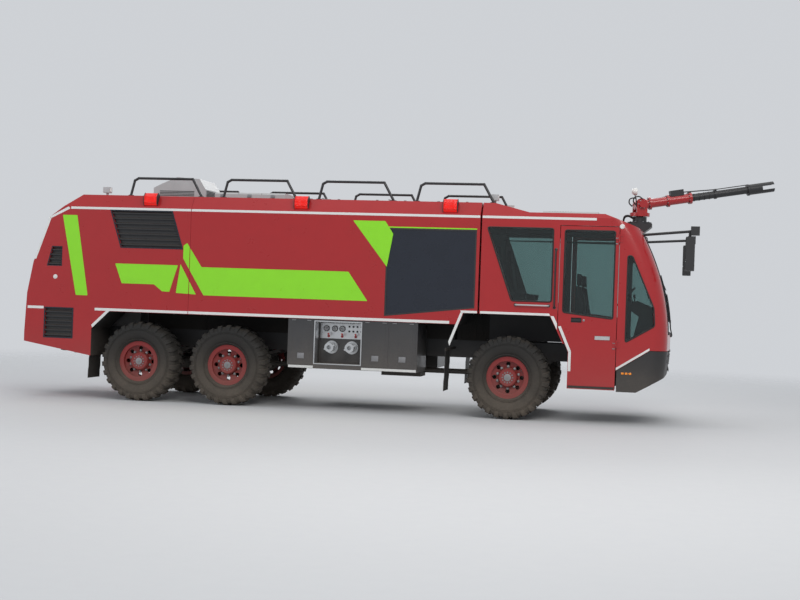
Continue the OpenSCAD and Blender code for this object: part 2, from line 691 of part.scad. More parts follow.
// Closed locker and cooling air cowl along the middle of the deck, and two small roof lamps
module roof_fittings() {
    color([0.72, 0.73, 0.74]) {
        difference() {
            end_slab([[-480, deck_z], [480, deck_z], [480, deck_z + 130], [440, deck_z + 160],
                [-440, deck_z + 160], [-480, deck_z + 130]], -5440, -4150);
            for (x = [-5010, -4580]) box(x - 4, x + 4, -500, 500, deck_z + 120, deck_z + 200);
        }
        side_slab([[-6620, deck_z], [-5640, deck_z], [-5640, deck_z + 210], [-5760, deck_z + 390],
            [-6180, deck_z + 420], [-6460, deck_z + 300], [-6620, deck_z + 220]], -420, 420);
    }
    // Air conditioning unit on the cab roof
    color([0.72, 0.73, 0.74]) end_slab([[-430, cab_roof_z], [430, cab_roof_z], [430, cab_roof_z + 70],
        [390, cab_roof_z + 100], [-390, cab_roof_z + 100], [-430, cab_roof_z + 70]], 400, 1340);
    color([0.1, 0.1, 0.11]) for (x = [-7180, -330]) both_sides() {
        z_rod(x, half_w - 330, deck_z, deck_z + 60, 22);
        box(x - 60, x + 60, half_w - 390, half_w - 270, deck_z + 50, deck_z + 150);
    }
    color([0.5, 0.06, 0.06]) for (x = [-3500, -2300, -1200]) {
        z_rod(x, 0, deck_z, deck_z + 50, 290);
        z_rod(x, 0, deck_z + 45, deck_z + 75, 310);
        box(x + 240, x + 370, -60, 60, deck_z, deck_z + 66);
    }
}

// Roof monitor on a bracket over the sloping brow of the cab
mount_z = cab_roof_z - 60;
function brow_z(x) = cab_roof_z - brow_slope * (x - brow_x0);
module monitor_base() {
    color([0.15, 0.15, 0.16]) difference() {
        union() {
            side_slab([[monitor_x - 320, brow_z(monitor_x - 320)], [monitor_x + 70, brow_z(monitor_x + 70)],
                [monitor_x + 215, mount_z - 50], [monitor_x + 215, mount_z],
                [monitor_x - 320, mount_z]], -215, 215);
            z_rod(monitor_x, 0, mount_z - 20, mount_z + 30, 205);
            z_rod(monitor_x, 0, mount_z + 20, mount_z + 120, 120);
            z_rod(monitor_x, 0, mount_z + 110, mount_z + 188, 60);
        }
        for (i = [0:7]) at(monitor_x, 0, mount_z) rotate([0, 0, 22.5 + i * 45]) translate([165, 0, 5])
            cylinder(h = 50, r = 9, $fn = 16);
    }
}
// Turret frame: the pitch axis, turned to where the monitor points
module monitor_turn() {
    at(monitor_x, 0, monitor_z) rotate([0, 0, monitor_yaw]) children();
}
turret_floor = mount_z + 128 - monitor_z;
module monitor_head() {
    color([0.6, 0.05, 0.05]) monitor_turn() difference() {
        union() {
            translate([0, 0, turret_floor]) cylinder(h = 60, r = 170);
            for (y = [-165, 125]) translate([0, y, 0]) {
                translate([-90, 0, turret_floor + 20]) cube([180, 40, -turret_floor - 20]);
                rotate([-90, 0, 0]) cylinder(h = 40, r = 90);
            }
            // Motor housings outside the two cheeks
            translate([0, -225, 0]) rotate([-90, 0, 0]) cylinder(h = 62, r = 62);
            translate([-70, 163, -150]) cube([140, 62, 150]);
        }
        rotate([90, 0, 0]) cylinder(h = 344, r = 40.06, center = true);
        translate([0, 0, turret_floor - 28]) cylinder(h = 88.5, r = 60.06);
    }
}
module monitor_barrel() {
    monitor_turn() rotate([0, -monitor_pitch, 0]) {
        color([0.6, 0.05, 0.05]) {
            rotate([90, 0, 0]) cylinder(h = 342, r = 40, center = true);
            rotate([90, 0, 0]) cylinder(h = 236, r = 105, center = true);
            rotate([0, 90, 0]) cylinder(h = 880, r = 78);
            translate([150, 0, 0]) rotate([0, 90, 0]) cylinder(h = 34, r = 108);
            translate([470, 0, 0]) rotate([0, 90, 0]) cylinder(h = 34, r = 104);
            translate([852, 0, 0]) rotate([0, 90, 0]) cylinder(h = 44, r = 104);
            translate([-100, 0, 0]) rotate([0, 90, 0]) cylinder(h = 100, r = 70);
        }
        color([0.05, 0.05, 0.06]) {
            translate([540, -58, 60]) cube([230, 116, 105]);
            translate([890, 0, 0]) rotate([0, 90, 0]) cylinder(h = 1010, r = 62);
            translate([1300, 0, 0]) rotate([0, 90, 0]) cylinder(h = 40, r = 76);
            translate([1890, 0, 0]) difference() {
                rotate([0, 90, 0]) cylinder(h = barrel_l - 1890, r = tip_r);
                translate([120, 0, 0]) rotate([0, 90, 0]) cylinder(h = 900, r = tip_r - 22);
                // The two open flanks that leave a forked tip
                translate([250, -tip_r - 5, -34]) cube([900, 2 * tip_r + 10, 68]);
            }
        }
    }
}

frame_rails();
cross_members();
engine_block();
driveline();
leaf_springs();
axles();
knuckle_left();
knuckle_right();
tyre_front_left();
tyre_front_right();
tyre_middle_left();
tyre_middle_right();
tyre_rear_left();
tyre_rear_right();
rim_front_left();
rim_front_right();
rim_middle_left();
rim_middle_right();
rim_rear_left();
rim_rear_right();
cab_shell();
cab_floor();
cab_glazing();
cab_seats();
dashboard();
steering_wheel();
front_bumper();
door_left();
door_right();
door_glass_left();
door_glass_right();
mirrors();
tank_body();
rear_body();
lower_lockers();
hose_outlets();
side_louvres();
rear_hatch();
lamps();
roof_beacons();
roof_rails();
roof_fittings();
monitor_base();
monitor_head();
monitor_barrel();
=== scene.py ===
# %% [markdown]
# # A six-wheel airport fire truck
# The solids of the truck come from a imported CAD model, with a body for everything that moves.
# This lesson dresses them: paint, glass, rubber, reflective tape, tread, bolts and trim.
# We load the model first.
# Nothing is drawn at random, so every run gives the same result.

# %% Load the frame
import json
import math

import bmesh
import bpy
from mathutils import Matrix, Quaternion, Vector
from mathutils.bvhtree import BVHTree


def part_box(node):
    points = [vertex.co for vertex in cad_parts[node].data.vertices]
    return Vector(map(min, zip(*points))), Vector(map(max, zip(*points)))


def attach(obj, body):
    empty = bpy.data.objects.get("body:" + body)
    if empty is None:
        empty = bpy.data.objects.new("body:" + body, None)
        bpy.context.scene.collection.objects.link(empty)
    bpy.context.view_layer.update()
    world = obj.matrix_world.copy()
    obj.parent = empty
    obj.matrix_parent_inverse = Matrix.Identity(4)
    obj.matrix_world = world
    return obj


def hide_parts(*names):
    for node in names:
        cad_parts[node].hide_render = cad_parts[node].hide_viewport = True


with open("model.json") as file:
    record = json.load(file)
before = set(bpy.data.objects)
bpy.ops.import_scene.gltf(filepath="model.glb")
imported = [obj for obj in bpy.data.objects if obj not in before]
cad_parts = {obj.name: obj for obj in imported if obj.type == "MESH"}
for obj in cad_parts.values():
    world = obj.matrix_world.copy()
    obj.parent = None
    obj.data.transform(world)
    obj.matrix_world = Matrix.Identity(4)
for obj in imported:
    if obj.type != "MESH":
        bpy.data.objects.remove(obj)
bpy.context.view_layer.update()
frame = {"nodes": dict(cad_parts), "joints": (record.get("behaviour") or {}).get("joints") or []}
nodes = frame["nodes"]

# %% [markdown]
# Every place on the truck is measured from the front axle, as a vehicle builder does: the station is metres ahead
# of it. The axle, hub and side panel positions are read from the CAD nodes, so they follow the model.

# %% Stations and planes
def middle(node):
    low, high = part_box(node)
    return (low + high) / 2


FRONT_X = middle("tyre_front_left").x
MID_X = middle("tyre_middle_left").x
REAR_X = middle("tyre_rear_left").x
HUB_Z = middle("tyre_front_left").z
WHEEL_Y = middle("tyre_front_left").y
HALF_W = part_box("tank_body")[1].y
BODY = "vehicle"
SIDES = {"left": 1, "right": -1}


def at(station, y, z):
    return Vector((FRONT_X + station, y, z))


def span_y(side, near, far):
    """The y of two distances from the middle plane on one side of the truck, the lower one first."""
    return sorted((side * near, side * far))


print("front axle x", round(FRONT_X, 3), "half width", round(HALF_W, 3))

# %% [markdown]
# A few small helpers make every piece: a mesh from points and faces, a flat shape cut from sheet and given a
# thickness, a revolved form and a tube along a path. Each one also puts the piece on the body that carries it.

# %% Mesh helpers
SHARP_ANGLE = math.radians(38)


def finish_piece(name, bm, material, body=BODY, smooth=False):
    bmesh.ops.recalc_face_normals(bm, faces=bm.faces)
    mesh = bpy.data.meshes.new(name)
    bm.to_mesh(mesh)
    bm.free()
    piece = bpy.data.objects.new(name, mesh)
    bpy.context.scene.collection.objects.link(piece)
    for skin in material if isinstance(material, list) else [material]:
        mesh.materials.append(skin)
    if smooth:
        mesh.shade_smooth()
        mesh.set_sharp_from_angle(angle=SHARP_ANGLE)
    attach(piece, body)
    return piece


def add_prism(bm, outline, offset, material_index=0):
    """Joins a closed outline to its copy moved by offset."""
    low = [bm.verts.new(p) for p in outline]
    high = [bm.verts.new(Vector(p) + Vector(offset)) for p in outline]
    faces = [bm.faces.new(low), bm.faces.new(high[::-1])]
    for i in range(len(outline)):
        j = (i + 1) % len(outline)
        faces.append(bm.faces.new((low[j], low[i], high[i], high[j])))
    for face in faces:
        face.material_index = material_index
    return faces


def add_box(bm, low, high, bevel=0.0):
    """A box between two corners, with rounded edges."""
    made = bmesh.ops.create_cube(bm, size=1.0)["verts"]
    low, high = Vector(low), Vector(high)
    size = high - low
    for vert in made:
        vert.co = low + Vector([(vert.co[k] + 0.5) * size[k] for k in range(3)])
    if bevel > 0:
        edges = list(dict.fromkeys(e for v in made for e in v.link_edges))
        bmesh.ops.bevel(bm, geom=edges, offset=bevel, segments=2, affect="EDGES", profile=0.6)


def ring_frame(axis):
    axis = Vector(axis).normalized()
    side = axis.orthogonal().normalized()
    return axis, side, axis.cross(side)


def add_revolve(bm, origin, axis, profile, segments=32, closed=False):
    """Turns a profile of (distance along the axis, radius) round the axis."""
    axis, side, up = ring_frame(axis)
    origin = Vector(origin)
    rings = []
    for along, radius in profile:
        centre = origin + axis * along
        if radius < 1e-6:
            rings.append([bm.verts.new(centre)])
            continue
        rings.append([bm.verts.new(centre + radius * (math.cos(t) * side + math.sin(t) * up))
                      for t in (2 * math.pi * k / segments for k in range(segments))])
    pairs = list(zip(rings, rings[1:])) + ([(rings[-1], rings[0])] if closed else [])
    for a, b in pairs:
        for k in range(segments):
            n = (k + 1) % segments
            corners = [a[k % len(a)], a[n % len(a)], b[n % len(b)], b[k % len(b)]]
            corners = [v for i, v in enumerate(corners) if v not in corners[:i]]
            if len(corners) > 2:
                bm.faces.new(corners)


def add_rod(bm, start, end, radius, segments=12):
    start, end = Vector(start), Vector(end)
    add_revolve(bm, start, end - start, [(0, 0), (0, radius), ((end - start).length, radius),
                                         ((end - start).length, 0)], segments)


def add_bolt(bm, at_point, axis, radius=0.012, height=0.008):
    """A hexagon head on a washer."""
    add_revolve(bm, at_point, axis, [(0, 0), (0, radius * 1.35), (height * 0.25, radius * 1.35),
                                     (height * 0.25, radius)], 12)
    add_revolve(bm, at_point, axis, [(height * 0.2, radius), (height, radius), (height * 1.05, radius * 0.85),
                                     (height * 1.05, 0)], 6)


def tube(name, points, radius, material, body=BODY, cyclic=False, resolution=3):
    curve = bpy.data.curves.new(name, "CURVE")
    curve.dimensions = "3D"
    curve.bevel_depth = radius
    curve.bevel_resolution = resolution
    curve.use_fill_caps = True
    line = curve.splines.new("POLY")
    line.points.add(len(points) - 1)
    for spot, point in zip(line.points, points):
        spot.co = (*point, 1)
    line.use_cyclic_u = cyclic
    curve.materials.append(material)
    piece = bpy.data.objects.new(name, curve)
    bpy.context.scene.collection.objects.link(piece)
    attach(piece, body)
    return piece


def round_corners(points, radius, steps=5, closed=True):
    """Replaces each corner of a path by a short arc."""
    points = [Vector(p) for p in points]
    count = len(points)
    made = []
    for i, corner in enumerate(points):
        if not closed and i in (0, count - 1):
            made.append(corner)
            continue
        before = (points[i - 1] - corner)
        after = (points[(i + 1) % count] - corner)
        reach = min(radius, before.length * 0.45, after.length * 0.45)
        a = corner + before.normalized() * reach
        b = corner + after.normalized() * reach
        for k in range(steps + 1):
            t = k / steps
            made.append(a * (1 - t) ** 2 + corner * 2 * t * (1 - t) + b * t ** 2)
    return made


print("helpers ready")

# %% [markdown]
# ## Shared surface effects
# Outdoor paint, rubber and plastic on one vehicle share the same dirt and the same fine unevenness. Each effect is
# a node group that is made once: road dust that rises from the ground and settles on ledges, a fine grain for
# bump, and thin scuffs. A group only gives masks and values, and every material mixes them in its own way.

# %% Group helpers
def new_group(name, inputs, outputs):
    group = bpy.data.node_groups.new(name, "ShaderNodeTree")
    for label, kind, value in inputs:
        socket = group.interface.new_socket(name=label, in_out="INPUT", socket_type=kind)
        if value is not None:
            socket.default_value = value
    for label, kind in outputs:
        group.interface.new_socket(name=label, in_out="OUTPUT", socket_type=kind)
    return group, group.nodes.new("NodeGroupInput"), group.nodes.new("NodeGroupOutput")


def math_node(tree, operation, a, b=None, clamp=False):
    node = tree.nodes.new("ShaderNodeMath")
    node.operation = operation
    node.use_clamp = clamp
    for socket, value in zip(node.inputs, (a, b)):
        if value is None:
            continue
        if isinstance(value, (int, float)):
            socket.default_value = value
        else:
            tree.links.new(value, socket)
    return node.outputs[0]


def noise_node(tree, vector, scale, detail=3.0, roughness=0.5):
    node = tree.nodes.new("ShaderNodeTexNoise")
    node.inputs["Detail"].default_value = detail
    node.inputs["Roughness"].default_value = roughness
    tree.links.new(vector, node.inputs["Vector"])
    if isinstance(scale, (int, float)):
        node.inputs["Scale"].default_value = scale
    else:
        tree.links.new(scale, node.inputs["Scale"])
    return node.outputs["Fac"]


print("group helpers ready")

# %% [markdown]
# Road dust is thick near the ground and settles on what lies level. It could be painted by hand, but a mask from
# the height and the normal works for every piece at once. Two noises break it into clouds and specks.

# %% Road dust
DUST_FALL = 1.6
LEDGE_SHARPNESS = 4.0
CLOUD_SCALE, SPECK_SCALE = 2.3, 37.0


def make_dust_group():
    group, source, result = new_group(
        "road_dust",
        [("Vector", "NodeSocketVector", None), ("Amount", "NodeSocketFloat", 0.3),
         ("Top", "NodeSocketFloat", 1.4), ("Ledges", "NodeSocketFloat", 0.2)],
        [("Mask", "NodeSocketFloat")])
    links = group.links
    split = group.nodes.new("ShaderNodeSeparateXYZ")
    links.new(source.outputs["Vector"], split.inputs[0])
    rise = math_node(group, "DIVIDE", split.outputs["Z"], source.outputs["Top"], clamp=True)
    low = math_node(group, "POWER", math_node(group, "SUBTRACT", 1.0, rise, clamp=True), DUST_FALL)
    facing = group.nodes.new("ShaderNodeNewGeometry")
    up = group.nodes.new("ShaderNodeSeparateXYZ")
    links.new(facing.outputs["Normal"], up.inputs[0])
    flat = math_node(group, "POWER", math_node(group, "MAXIMUM", up.outputs["Z"], 0.0), LEDGE_SHARPNESS)
    ledge = math_node(group, "MULTIPLY", flat, source.outputs["Ledges"])
    clouds = noise_node(group, source.outputs["Vector"], CLOUD_SCALE, 6.0, 0.62)
    specks = noise_node(group, source.outputs["Vector"], SPECK_SCALE, 4.0, 0.7)
    broken = math_node(group, "MULTIPLY", math_node(group, "ADD", clouds, 0.12), math_node(group, "ADD", specks, 0.6))
    spread = math_node(group, "ADD", math_node(group, "MULTIPLY", low, source.outputs["Amount"]), ledge)
    links.new(math_node(group, "MULTIPLY", math_node(group, "MULTIPLY", spread, broken), 1.6, clamp=True),
              result.inputs["Mask"])
    return group


DUST_GROUP = make_dust_group()
print("group", DUST_GROUP.name)

# %% [markdown]
# No real surface is quite even. One group gives a fine height for the bump, and a slow tone that shifts colour and
# gloss. Both are noise in space, because a picture of a surface would repeat and would have to be unwrapped.

# %% Fine grain
def make_grain_group():
    group, source, result = new_group(
        "fine_grain",
        [("Vector", "NodeSocketVector", None), ("Scale", "NodeSocketFloat", 200.0),
         ("Ripple", "NodeSocketFloat", 0.0)],
        [("Height", "NodeSocketFloat"), ("Tone", "NodeSocketFloat")])
    fine = noise_node(group, source.outputs["Vector"], source.outputs["Scale"], 2.0, 0.5)
    wide = noise_node(group, source.outputs["Vector"], 1.7, 1.0, 0.4)
    height = math_node(group, "ADD", fine, math_node(group, "MULTIPLY", wide, source.outputs["Ripple"]))
    group.links.new(height, result.inputs["Height"])
    group.links.new(noise_node(group, source.outputs["Vector"], 5.0, 5.0, 0.6), result.inputs["Tone"])
    return group


GRAIN_GROUP = make_grain_group()
print("group", GRAIN_GROUP.name)

# %% [markdown]
# Scuffs are thin lines in patches, where hoses, boots and branches rub. A noise stretched along one direction gives
# the lines and a wide one keeps them in patches. Modelled scratches would cost far more and show no better.

# %% Thin scuffs
SCUFF_TURN = (0.2, 0.5, 0.3)
SCUFF_STRETCH = (3.0, 60.0, 85.0)


def make_scuff_group():
    group, source, result = new_group(
        "thin_scuffs",
        [("Vector", "NodeSocketVector", None), ("Density", "NodeSocketFloat", 0.5)],
        [("Mask", "NodeSocketFloat")])
    stretch = group.nodes.new("ShaderNodeMapping")
    stretch.inputs["Rotation"].default_value = SCUFF_TURN
    stretch.inputs["Scale"].default_value = SCUFF_STRETCH
    group.links.new(source.outputs["Vector"], stretch.inputs["Vector"])
    lines = noise_node(group, stretch.outputs[0], 1.0, 5.0, 0.7)
    patches = noise_node(group, source.outputs["Vector"], 3.1, 3.0, 0.6)
    sharp = math_node(group, "MULTIPLY", math_node(group, "SUBTRACT", lines, 0.62, clamp=True), 9.0, clamp=True)
    where = math_node(group, "MULTIPLY", math_node(group, "SUBTRACT", patches, 0.45, clamp=True), 4.0, clamp=True)
    worn = math_node(group, "MULTIPLY", math_node(group, "MULTIPLY", sharp, where), source.outputs["Density"])
    group.links.new(worn, result.inputs["Mask"])
    return group


SCUFF_GROUP = make_scuff_group()
print("group", SCUFF_GROUP.name)

# %% [markdown]
# A finish on this truck is a colour with three things over it: dust low down, thin scuffs, and a grain that breaks
# the reflection. One function wires them, and each finish gets its own values. What is the same all over, such as
# the metallic share or the coat, is typed on the shader itself.

# %% The finish builder
DUST_COLOUR = (0.23, 0.19, 0.15, 1)
TONE_GLOSS, SCUFF_GLOSS, DUST_GLOSS = 0.16, 0.25, 0.45
COAT_ROUGHNESS = 0.06
BUMP_STRENGTH = 0.6


def place_group(tree, group, vector, **values):
    node = tree.nodes.new("ShaderNodeGroup")
    node.node_tree = group
    tree.links.new(vector, node.inputs["Vector"])
    for label, value in values.items():
        node.inputs[label].default_value = value
    return node


def mix_colour(tree, factor, a, b):
    node = tree.nodes.new("ShaderNodeMix")
    node.data_type = "RGBA"
    tree.links.new(factor, node.inputs["Factor"])
    for socket, value in ((node.inputs["A"], a), (node.inputs["B"], b)):
        if isinstance(value, tuple):
            socket.default_value = value
        else:
            tree.links.new(value, socket)
    return node.outputs["Result"]


def finish(name, colour, roughness, metallic=0.0, coat=0.0, dust=0.3, dust_top=1.4, ledges=0.15, grain=220.0,
           depth=0.0002, ripple=0.0, scuffs=0.3, scuff_colour=None, tone=0.16, specular=0.5):
    """A material from a colour, its dust, its scuffs and its grain."""
    skin = bpy.data.materials.new(name)
    skin.use_nodes = True
    tree = skin.node_tree
    shader = tree.nodes["Principled BSDF"]
    shader.inputs["Metallic"].default_value = metallic
    shader.inputs["Coat Weight"].default_value = coat
    shader.inputs["Coat Roughness"].default_value = COAT_ROUGHNESS
    shader.inputs["Specular IOR Level"].default_value = specular
    place = tree.nodes.new("ShaderNodeTexCoord").outputs["Object"]
    grit = place_group(tree, GRAIN_GROUP, place, Scale=grain, Ripple=ripple)
    dirt = place_group(tree, DUST_GROUP, place, Amount=dust, Top=dust_top, Ledges=ledges)
    marks = place_group(tree, SCUFF_GROUP, place, Density=scuffs)
    dark = tuple(c * (1 - tone) for c in colour[:3]) + (1,)
    light = tuple(min(1.0, c * (1 + tone)) for c in colour[:3]) + (1,)
    base = mix_colour(tree, grit.outputs["Tone"], dark, light)
    if scuff_colour is None:
        scuff_colour = tuple(min(1.0, c * 1.5 + 0.03) for c in colour[:3]) + (1,)
    worn = mix_colour(tree, marks.outputs["Mask"], base, scuff_colour)
    dusty = mix_colour(tree, dirt.outputs["Mask"], worn, DUST_COLOUR)
    tree.links.new(dusty, shader.inputs["Base Color"])
    uneven = math_node(tree, "MULTIPLY", math_node(tree, "SUBTRACT", grit.outputs["Tone"], 0.5), TONE_GLOSS)
    rough = math_node(tree, "ADD", uneven, roughness)
    rough = math_node(tree, "ADD", rough, math_node(tree, "MULTIPLY", marks.outputs["Mask"], SCUFF_GLOSS))
    rough = math_node(tree, "ADD", rough, math_node(tree, "MULTIPLY", dirt.outputs["Mask"], DUST_GLOSS), clamp=True)
    tree.links.new(rough, shader.inputs["Roughness"])
    bump = tree.nodes.new("ShaderNodeBump")
    bump.inputs["Strength"].default_value = BUMP_STRENGTH
    bump.inputs["Distance"].default_value = depth
    tree.links.new(grit.outputs["Height"], bump.inputs["Height"])
    tree.links.new(bump.outputs["Normal"], shader.inputs["Normal"])
    return skin


print("finish builder ready")

# %% [markdown]
# ## The finishes
# The body is a deep fire red under a clear coat. The tape is silver white and the big markings are lime green, both
# slightly glossy films. Under the body nearly everything is satin black or dark plastic. Each finish is one call
# with its own numbers, so that neighbours are easy to compare.

# %% Paints, films, rubber and metal
RED = finish("red_paint", (0.40, 0.008, 0.011), 0.30, coat=0.55, dust=0.16, dust_top=1.6, ledges=0.08, grain=420,
             depth=0.00005, ripple=12.0, scuffs=0.07, tone=0.06, specular=0.4)
DARK_PANEL = finish("dark_film", (0.010, 0.014, 0.025), 0.28, coat=0.3, dust=0.1, ledges=0.05, grain=300,
                    depth=0.00005, scuffs=0.1, specular=0.35)
CHASSIS = finish("chassis_black", (0.022, 0.022, 0.024), 0.5, dust=0.75, dust_top=1.3, ledges=0.6, grain=140,
                 depth=0.0004, scuffs=0.35)
SPRING = finish("spring_paint", (0.03, 0.03, 0.033), 0.55, dust=0.8, ledges=0.5, grain=90, depth=0.0006)
CAST = finish("engine_casting", (0.16, 0.16, 0.165), 0.6, metallic=0.6, dust=0.3, dust_top=2.4, ledges=0.5, grain=55,
              depth=0.0015, scuffs=0.2)
PLASTIC = finish("black_plastic", (0.018, 0.018, 0.02), 0.48, dust=0.5, dust_top=1.3, ledges=0.25, grain=600,
                 depth=0.0003, scuffs=0.3)
TRIM = finish("dash_plastic", (0.03, 0.031, 0.034), 0.62, dust=0.05, ledges=0.1, grain=900, depth=0.0004, scuffs=0.1)
TYRE = finish("tyre_rubber", (0.020, 0.020, 0.020), 0.76, dust=0.5, dust_top=1.4, ledges=0.2, grain=160,
              depth=0.0007, scuffs=0.25, specular=0.3)
SEAL = finish("rubber_seal", (0.012, 0.012, 0.012), 0.6, dust=0.2, grain=400, depth=0.0002, scuffs=0.0)
RIM = finish("rim_paint", (0.24, 0.010, 0.012), 0.38, dust=0.45, dust_top=1.25, ledges=0.3, grain=260, depth=0.0002,
             scuffs=0.4)
HUB = finish("hub_steel", (0.28, 0.28, 0.29), 0.42, metallic=0.85, dust=0.5, dust_top=1.2, ledges=0.3, grain=240,
             depth=0.0003, scuffs=0.5)
ALUMINIUM = finish("turned_aluminium", (0.58, 0.59, 0.60), 0.32, metallic=0.95, dust=0.2, dust_top=1.4, grain=500,
                   depth=0.0002, scuffs=0.4)
RAIL = finish("rail_black", (0.02, 0.02, 0.022), 0.36, dust=0.0, ledges=0.1, grain=260, depth=0.0002, scuffs=0.4,
              scuff_colour=(0.12, 0.12, 0.12, 1))
SEAT = finish("seat_weave", (0.035, 0.037, 0.045), 0.9, dust=0.0, ledges=0.1, grain=1100, depth=0.001, scuffs=0.0,
              specular=0.2)
WHITE_TAPE = finish("silver_tape", (0.80, 0.81, 0.80), 0.30, dust=0.35, dust_top=1.6, ledges=0.05, grain=900,
                    depth=0.00008, scuffs=0.25, scuff_colour=(0.45, 0.45, 0.44, 1), tone=0.05)
LIME_TAPE = finish("lime_film", (0.28, 0.78, 0.015), 0.30, coat=0.3, dust=0.15, dust_top=1.6, ledges=0.05, grain=900,
                   depth=0.00008, scuffs=0.15, scuff_colour=(0.2, 0.5, 0.05, 1), tone=0.06)
SILL = finish("sill_black", (0.035, 0.036, 0.04), 0.34, coat=0.25, dust=0.55, dust_top=1.7, ledges=0.3, grain=300,
              depth=0.0001, scuffs=0.25)
# Black undercoat. On red panel ends that lie in shade the same black is painted shade.
UNDERCOAT_AND_SHADE = finish("undercoat_and_shade", (0.016, 0.016, 0.017), 0.85, dust=0.5, dust_top=1.8, ledges=0.1, grain=60,
                   depth=0.0012, scuffs=0.1, specular=0.25)
WHITE_PAINT = finish("white_paint", (0.78, 0.78, 0.76), 0.35, coat=0.3, dust=0.0, ledges=0.2, grain=320, depth=0.0001,
                     scuffs=0.2, scuff_colour=(0.4, 0.4, 0.39, 1), tone=0.05)
LINING = finish("cab_lining", (0.085, 0.087, 0.092), 0.8, dust=0.05, ledges=0.1, grain=700, depth=0.0005, scuffs=0.1,
                specular=0.3)
PALE = finish("pale_grey_paint", (0.50, 0.51, 0.52), 0.42, dust=0.0, ledges=0.35, grain=300, depth=0.0002, scuffs=0.35,
              scuff_colour=(0.3, 0.3, 0.3, 1))
FLOOR_MAT = finish("floor_rubber", (0.03, 0.03, 0.032), 0.7, dust=0.2, ledges=0.4, grain=120, depth=0.0008, scuffs=0.3)
CHROME = finish("bright_steel", (0.72, 0.73, 0.74), 0.12, metallic=1.0, dust=0.1, ledges=0.1, grain=300,
                depth=0.00003, scuffs=0.2)
print("finishes", len(bpy.data.materials))

# %% [markdown]
# Glass needs another shader setting: light passes through, so the colour is the tint of the pane, with a film of dust
# mixed in. Panes stay quite smooth, because a rough one would blur what lies behind it. Lamp lenses take some haze
# from the dust mask and a ribbed bump. They are clear or red plastic over a bright reflector.

# %% Glass and lenses
RIB_SCALE = 40
LENS_GLOW = 0.35


def lens(name, tint, roughness=0.03, transmission=1.0, index=1.45, ribs=0.0, glow=None, haze=0.5):
    skin = bpy.data.materials.new(name)
    skin.use_nodes = True
    tree = skin.node_tree
    shader = tree.nodes["Principled BSDF"]
    shader.inputs["Transmission Weight"].default_value = transmission
    shader.inputs["IOR"].default_value = index
    place = tree.nodes.new("ShaderNodeTexCoord").outputs["Object"]
    dirt = place_group(tree, DUST_GROUP, place, Amount=0.12, Top=3.4, Ledges=0.1)
    tree.links.new(mix_colour(tree, dirt.outputs["Mask"], tint, DUST_COLOUR), shader.inputs["Base Color"])
    if haze > 0:
        tree.links.new(math_node(tree, "ADD", math_node(tree, "MULTIPLY", dirt.outputs["Mask"], haze), roughness),
                       shader.inputs["Roughness"])
    else:
        shader.inputs["Roughness"].default_value = roughness
    if ribs > 0:
        wave = tree.nodes.new("ShaderNodeTexWave")
        wave.bands_direction = "Z"
        wave.inputs["Scale"].default_value = RIB_SCALE
        bump = tree.nodes.new("ShaderNodeBump")
        bump.inputs["Distance"].default_value = ribs
        tree.links.new(place, wave.inputs["Vector"])
        tree.links.new(wave.outputs["Fac"], bump.inputs["Height"])
        tree.links.new(bump.outputs["Normal"], shader.inputs["Normal"])
    if glow is not None:
        shader.inputs["Emission Color"].default_value = glow
        shader.inputs["Emission Strength"].default_value = LENS_GLOW
    return skin


GLASS = lens("tinted_glass", (0.30, 0.43, 0.42, 1), 0.0, haze=0.0)
LAMP_GLASS = lens("lamp_glass", (0.93, 0.95, 0.96, 1), 0.02, ribs=0.002)
# The red lens glows faintly: lamp light on the beacons and tail lamps, a painted glow on the tail reflectors, which
# are no lamp.
RED_LENS = lens("red_lens", (0.75, 0.012, 0.01, 1), 0.08, transmission=0.45, ribs=0.003, glow=(0.9, 0.02, 0.01, 1))
AMBER_LENS = lens("amber_lens", (0.90, 0.27, 0.01, 1), 0.12, transmission=0.15, glow=(0.55, 0.16, 0.004, 1))
WHITE_LENS = lens("white_lens", (0.92, 0.92, 0.90, 1), 0.12, transmission=0.15, ribs=0.001)
MIRROR = finish("mirror_glass", (0.85, 0.87, 0.88), 0.04, metallic=1.0, dust=0.0, grain=50, depth=0.00001, scuffs=0.05)
print("lenses ready")

# %% [markdown]
# ## Dress the CAD nodes
# Most CAD nodes have the right shape and only need a finish. A table from finish to nodes says it in one place, and
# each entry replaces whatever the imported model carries.

# %% Finishes on the nodes
NODE_SKINS = {
    RED: ["cab_shell", "tank_body", "rear_body", "rear_hatch", "door_left", "door_right",
          "monitor_head"],
    CHASSIS: ["frame_rails", "cross_members", "axles", "knuckle_left", "knuckle_right", "driveline"],
    FLOOR_MAT: ["cab_floor"],
    SILL: ["lower_lockers"],
    PALE: ["roof_fittings"],
    GLASS: ["cab_glazing", "door_glass_left", "door_glass_right"],
    SPRING: ["leaf_springs"],
    CAST: ["engine_block"],
    PLASTIC: ["front_bumper", "mirrors", "side_louvres"],
    TRIM: ["dashboard", "steering_wheel"],
    SEAT: ["cab_seats"],
    ALUMINIUM: ["hose_outlets"],
    LAMP_GLASS: ["lamps"],
    RED_LENS: ["roof_beacons"],
    RAIL: ["roof_rails", "monitor_base", "monitor_barrel"],
    RIM: [n for n in nodes if n.startswith("rim_")],
    TYRE: [n for n in nodes if n.startswith("tyre_")],
}
for skin, names in NODE_SKINS.items():
    for name in names:
        mesh = nodes[name].data
        mesh.materials.clear()
        mesh.materials.append(skin)
        for face in mesh.polygons:
            face.material_index = 0
print("dressed", sum(len(v) for v in NODE_SKINS.values()), "of", len(nodes))

# %% [markdown]
# The cab is lined with grey plastic and the engine bay is sprayed black, but in CAD each is one shell whose outside
# is red. Splitting the shells would change the CAD. A face belongs to the inside when it looks at another wall of
# its own shell, and a few rays answer that for any shape.

# %% Lining of the cab and the engine bay
SIDE_PANEL = 0.055
LEANS = ((0, 0, 0), (0, 0.3, 0), (0, -0.3, 0), (0, 0, 0.3), (0, 0, -0.3), (0.3, 0, 0), (-0.3, 0, 0))


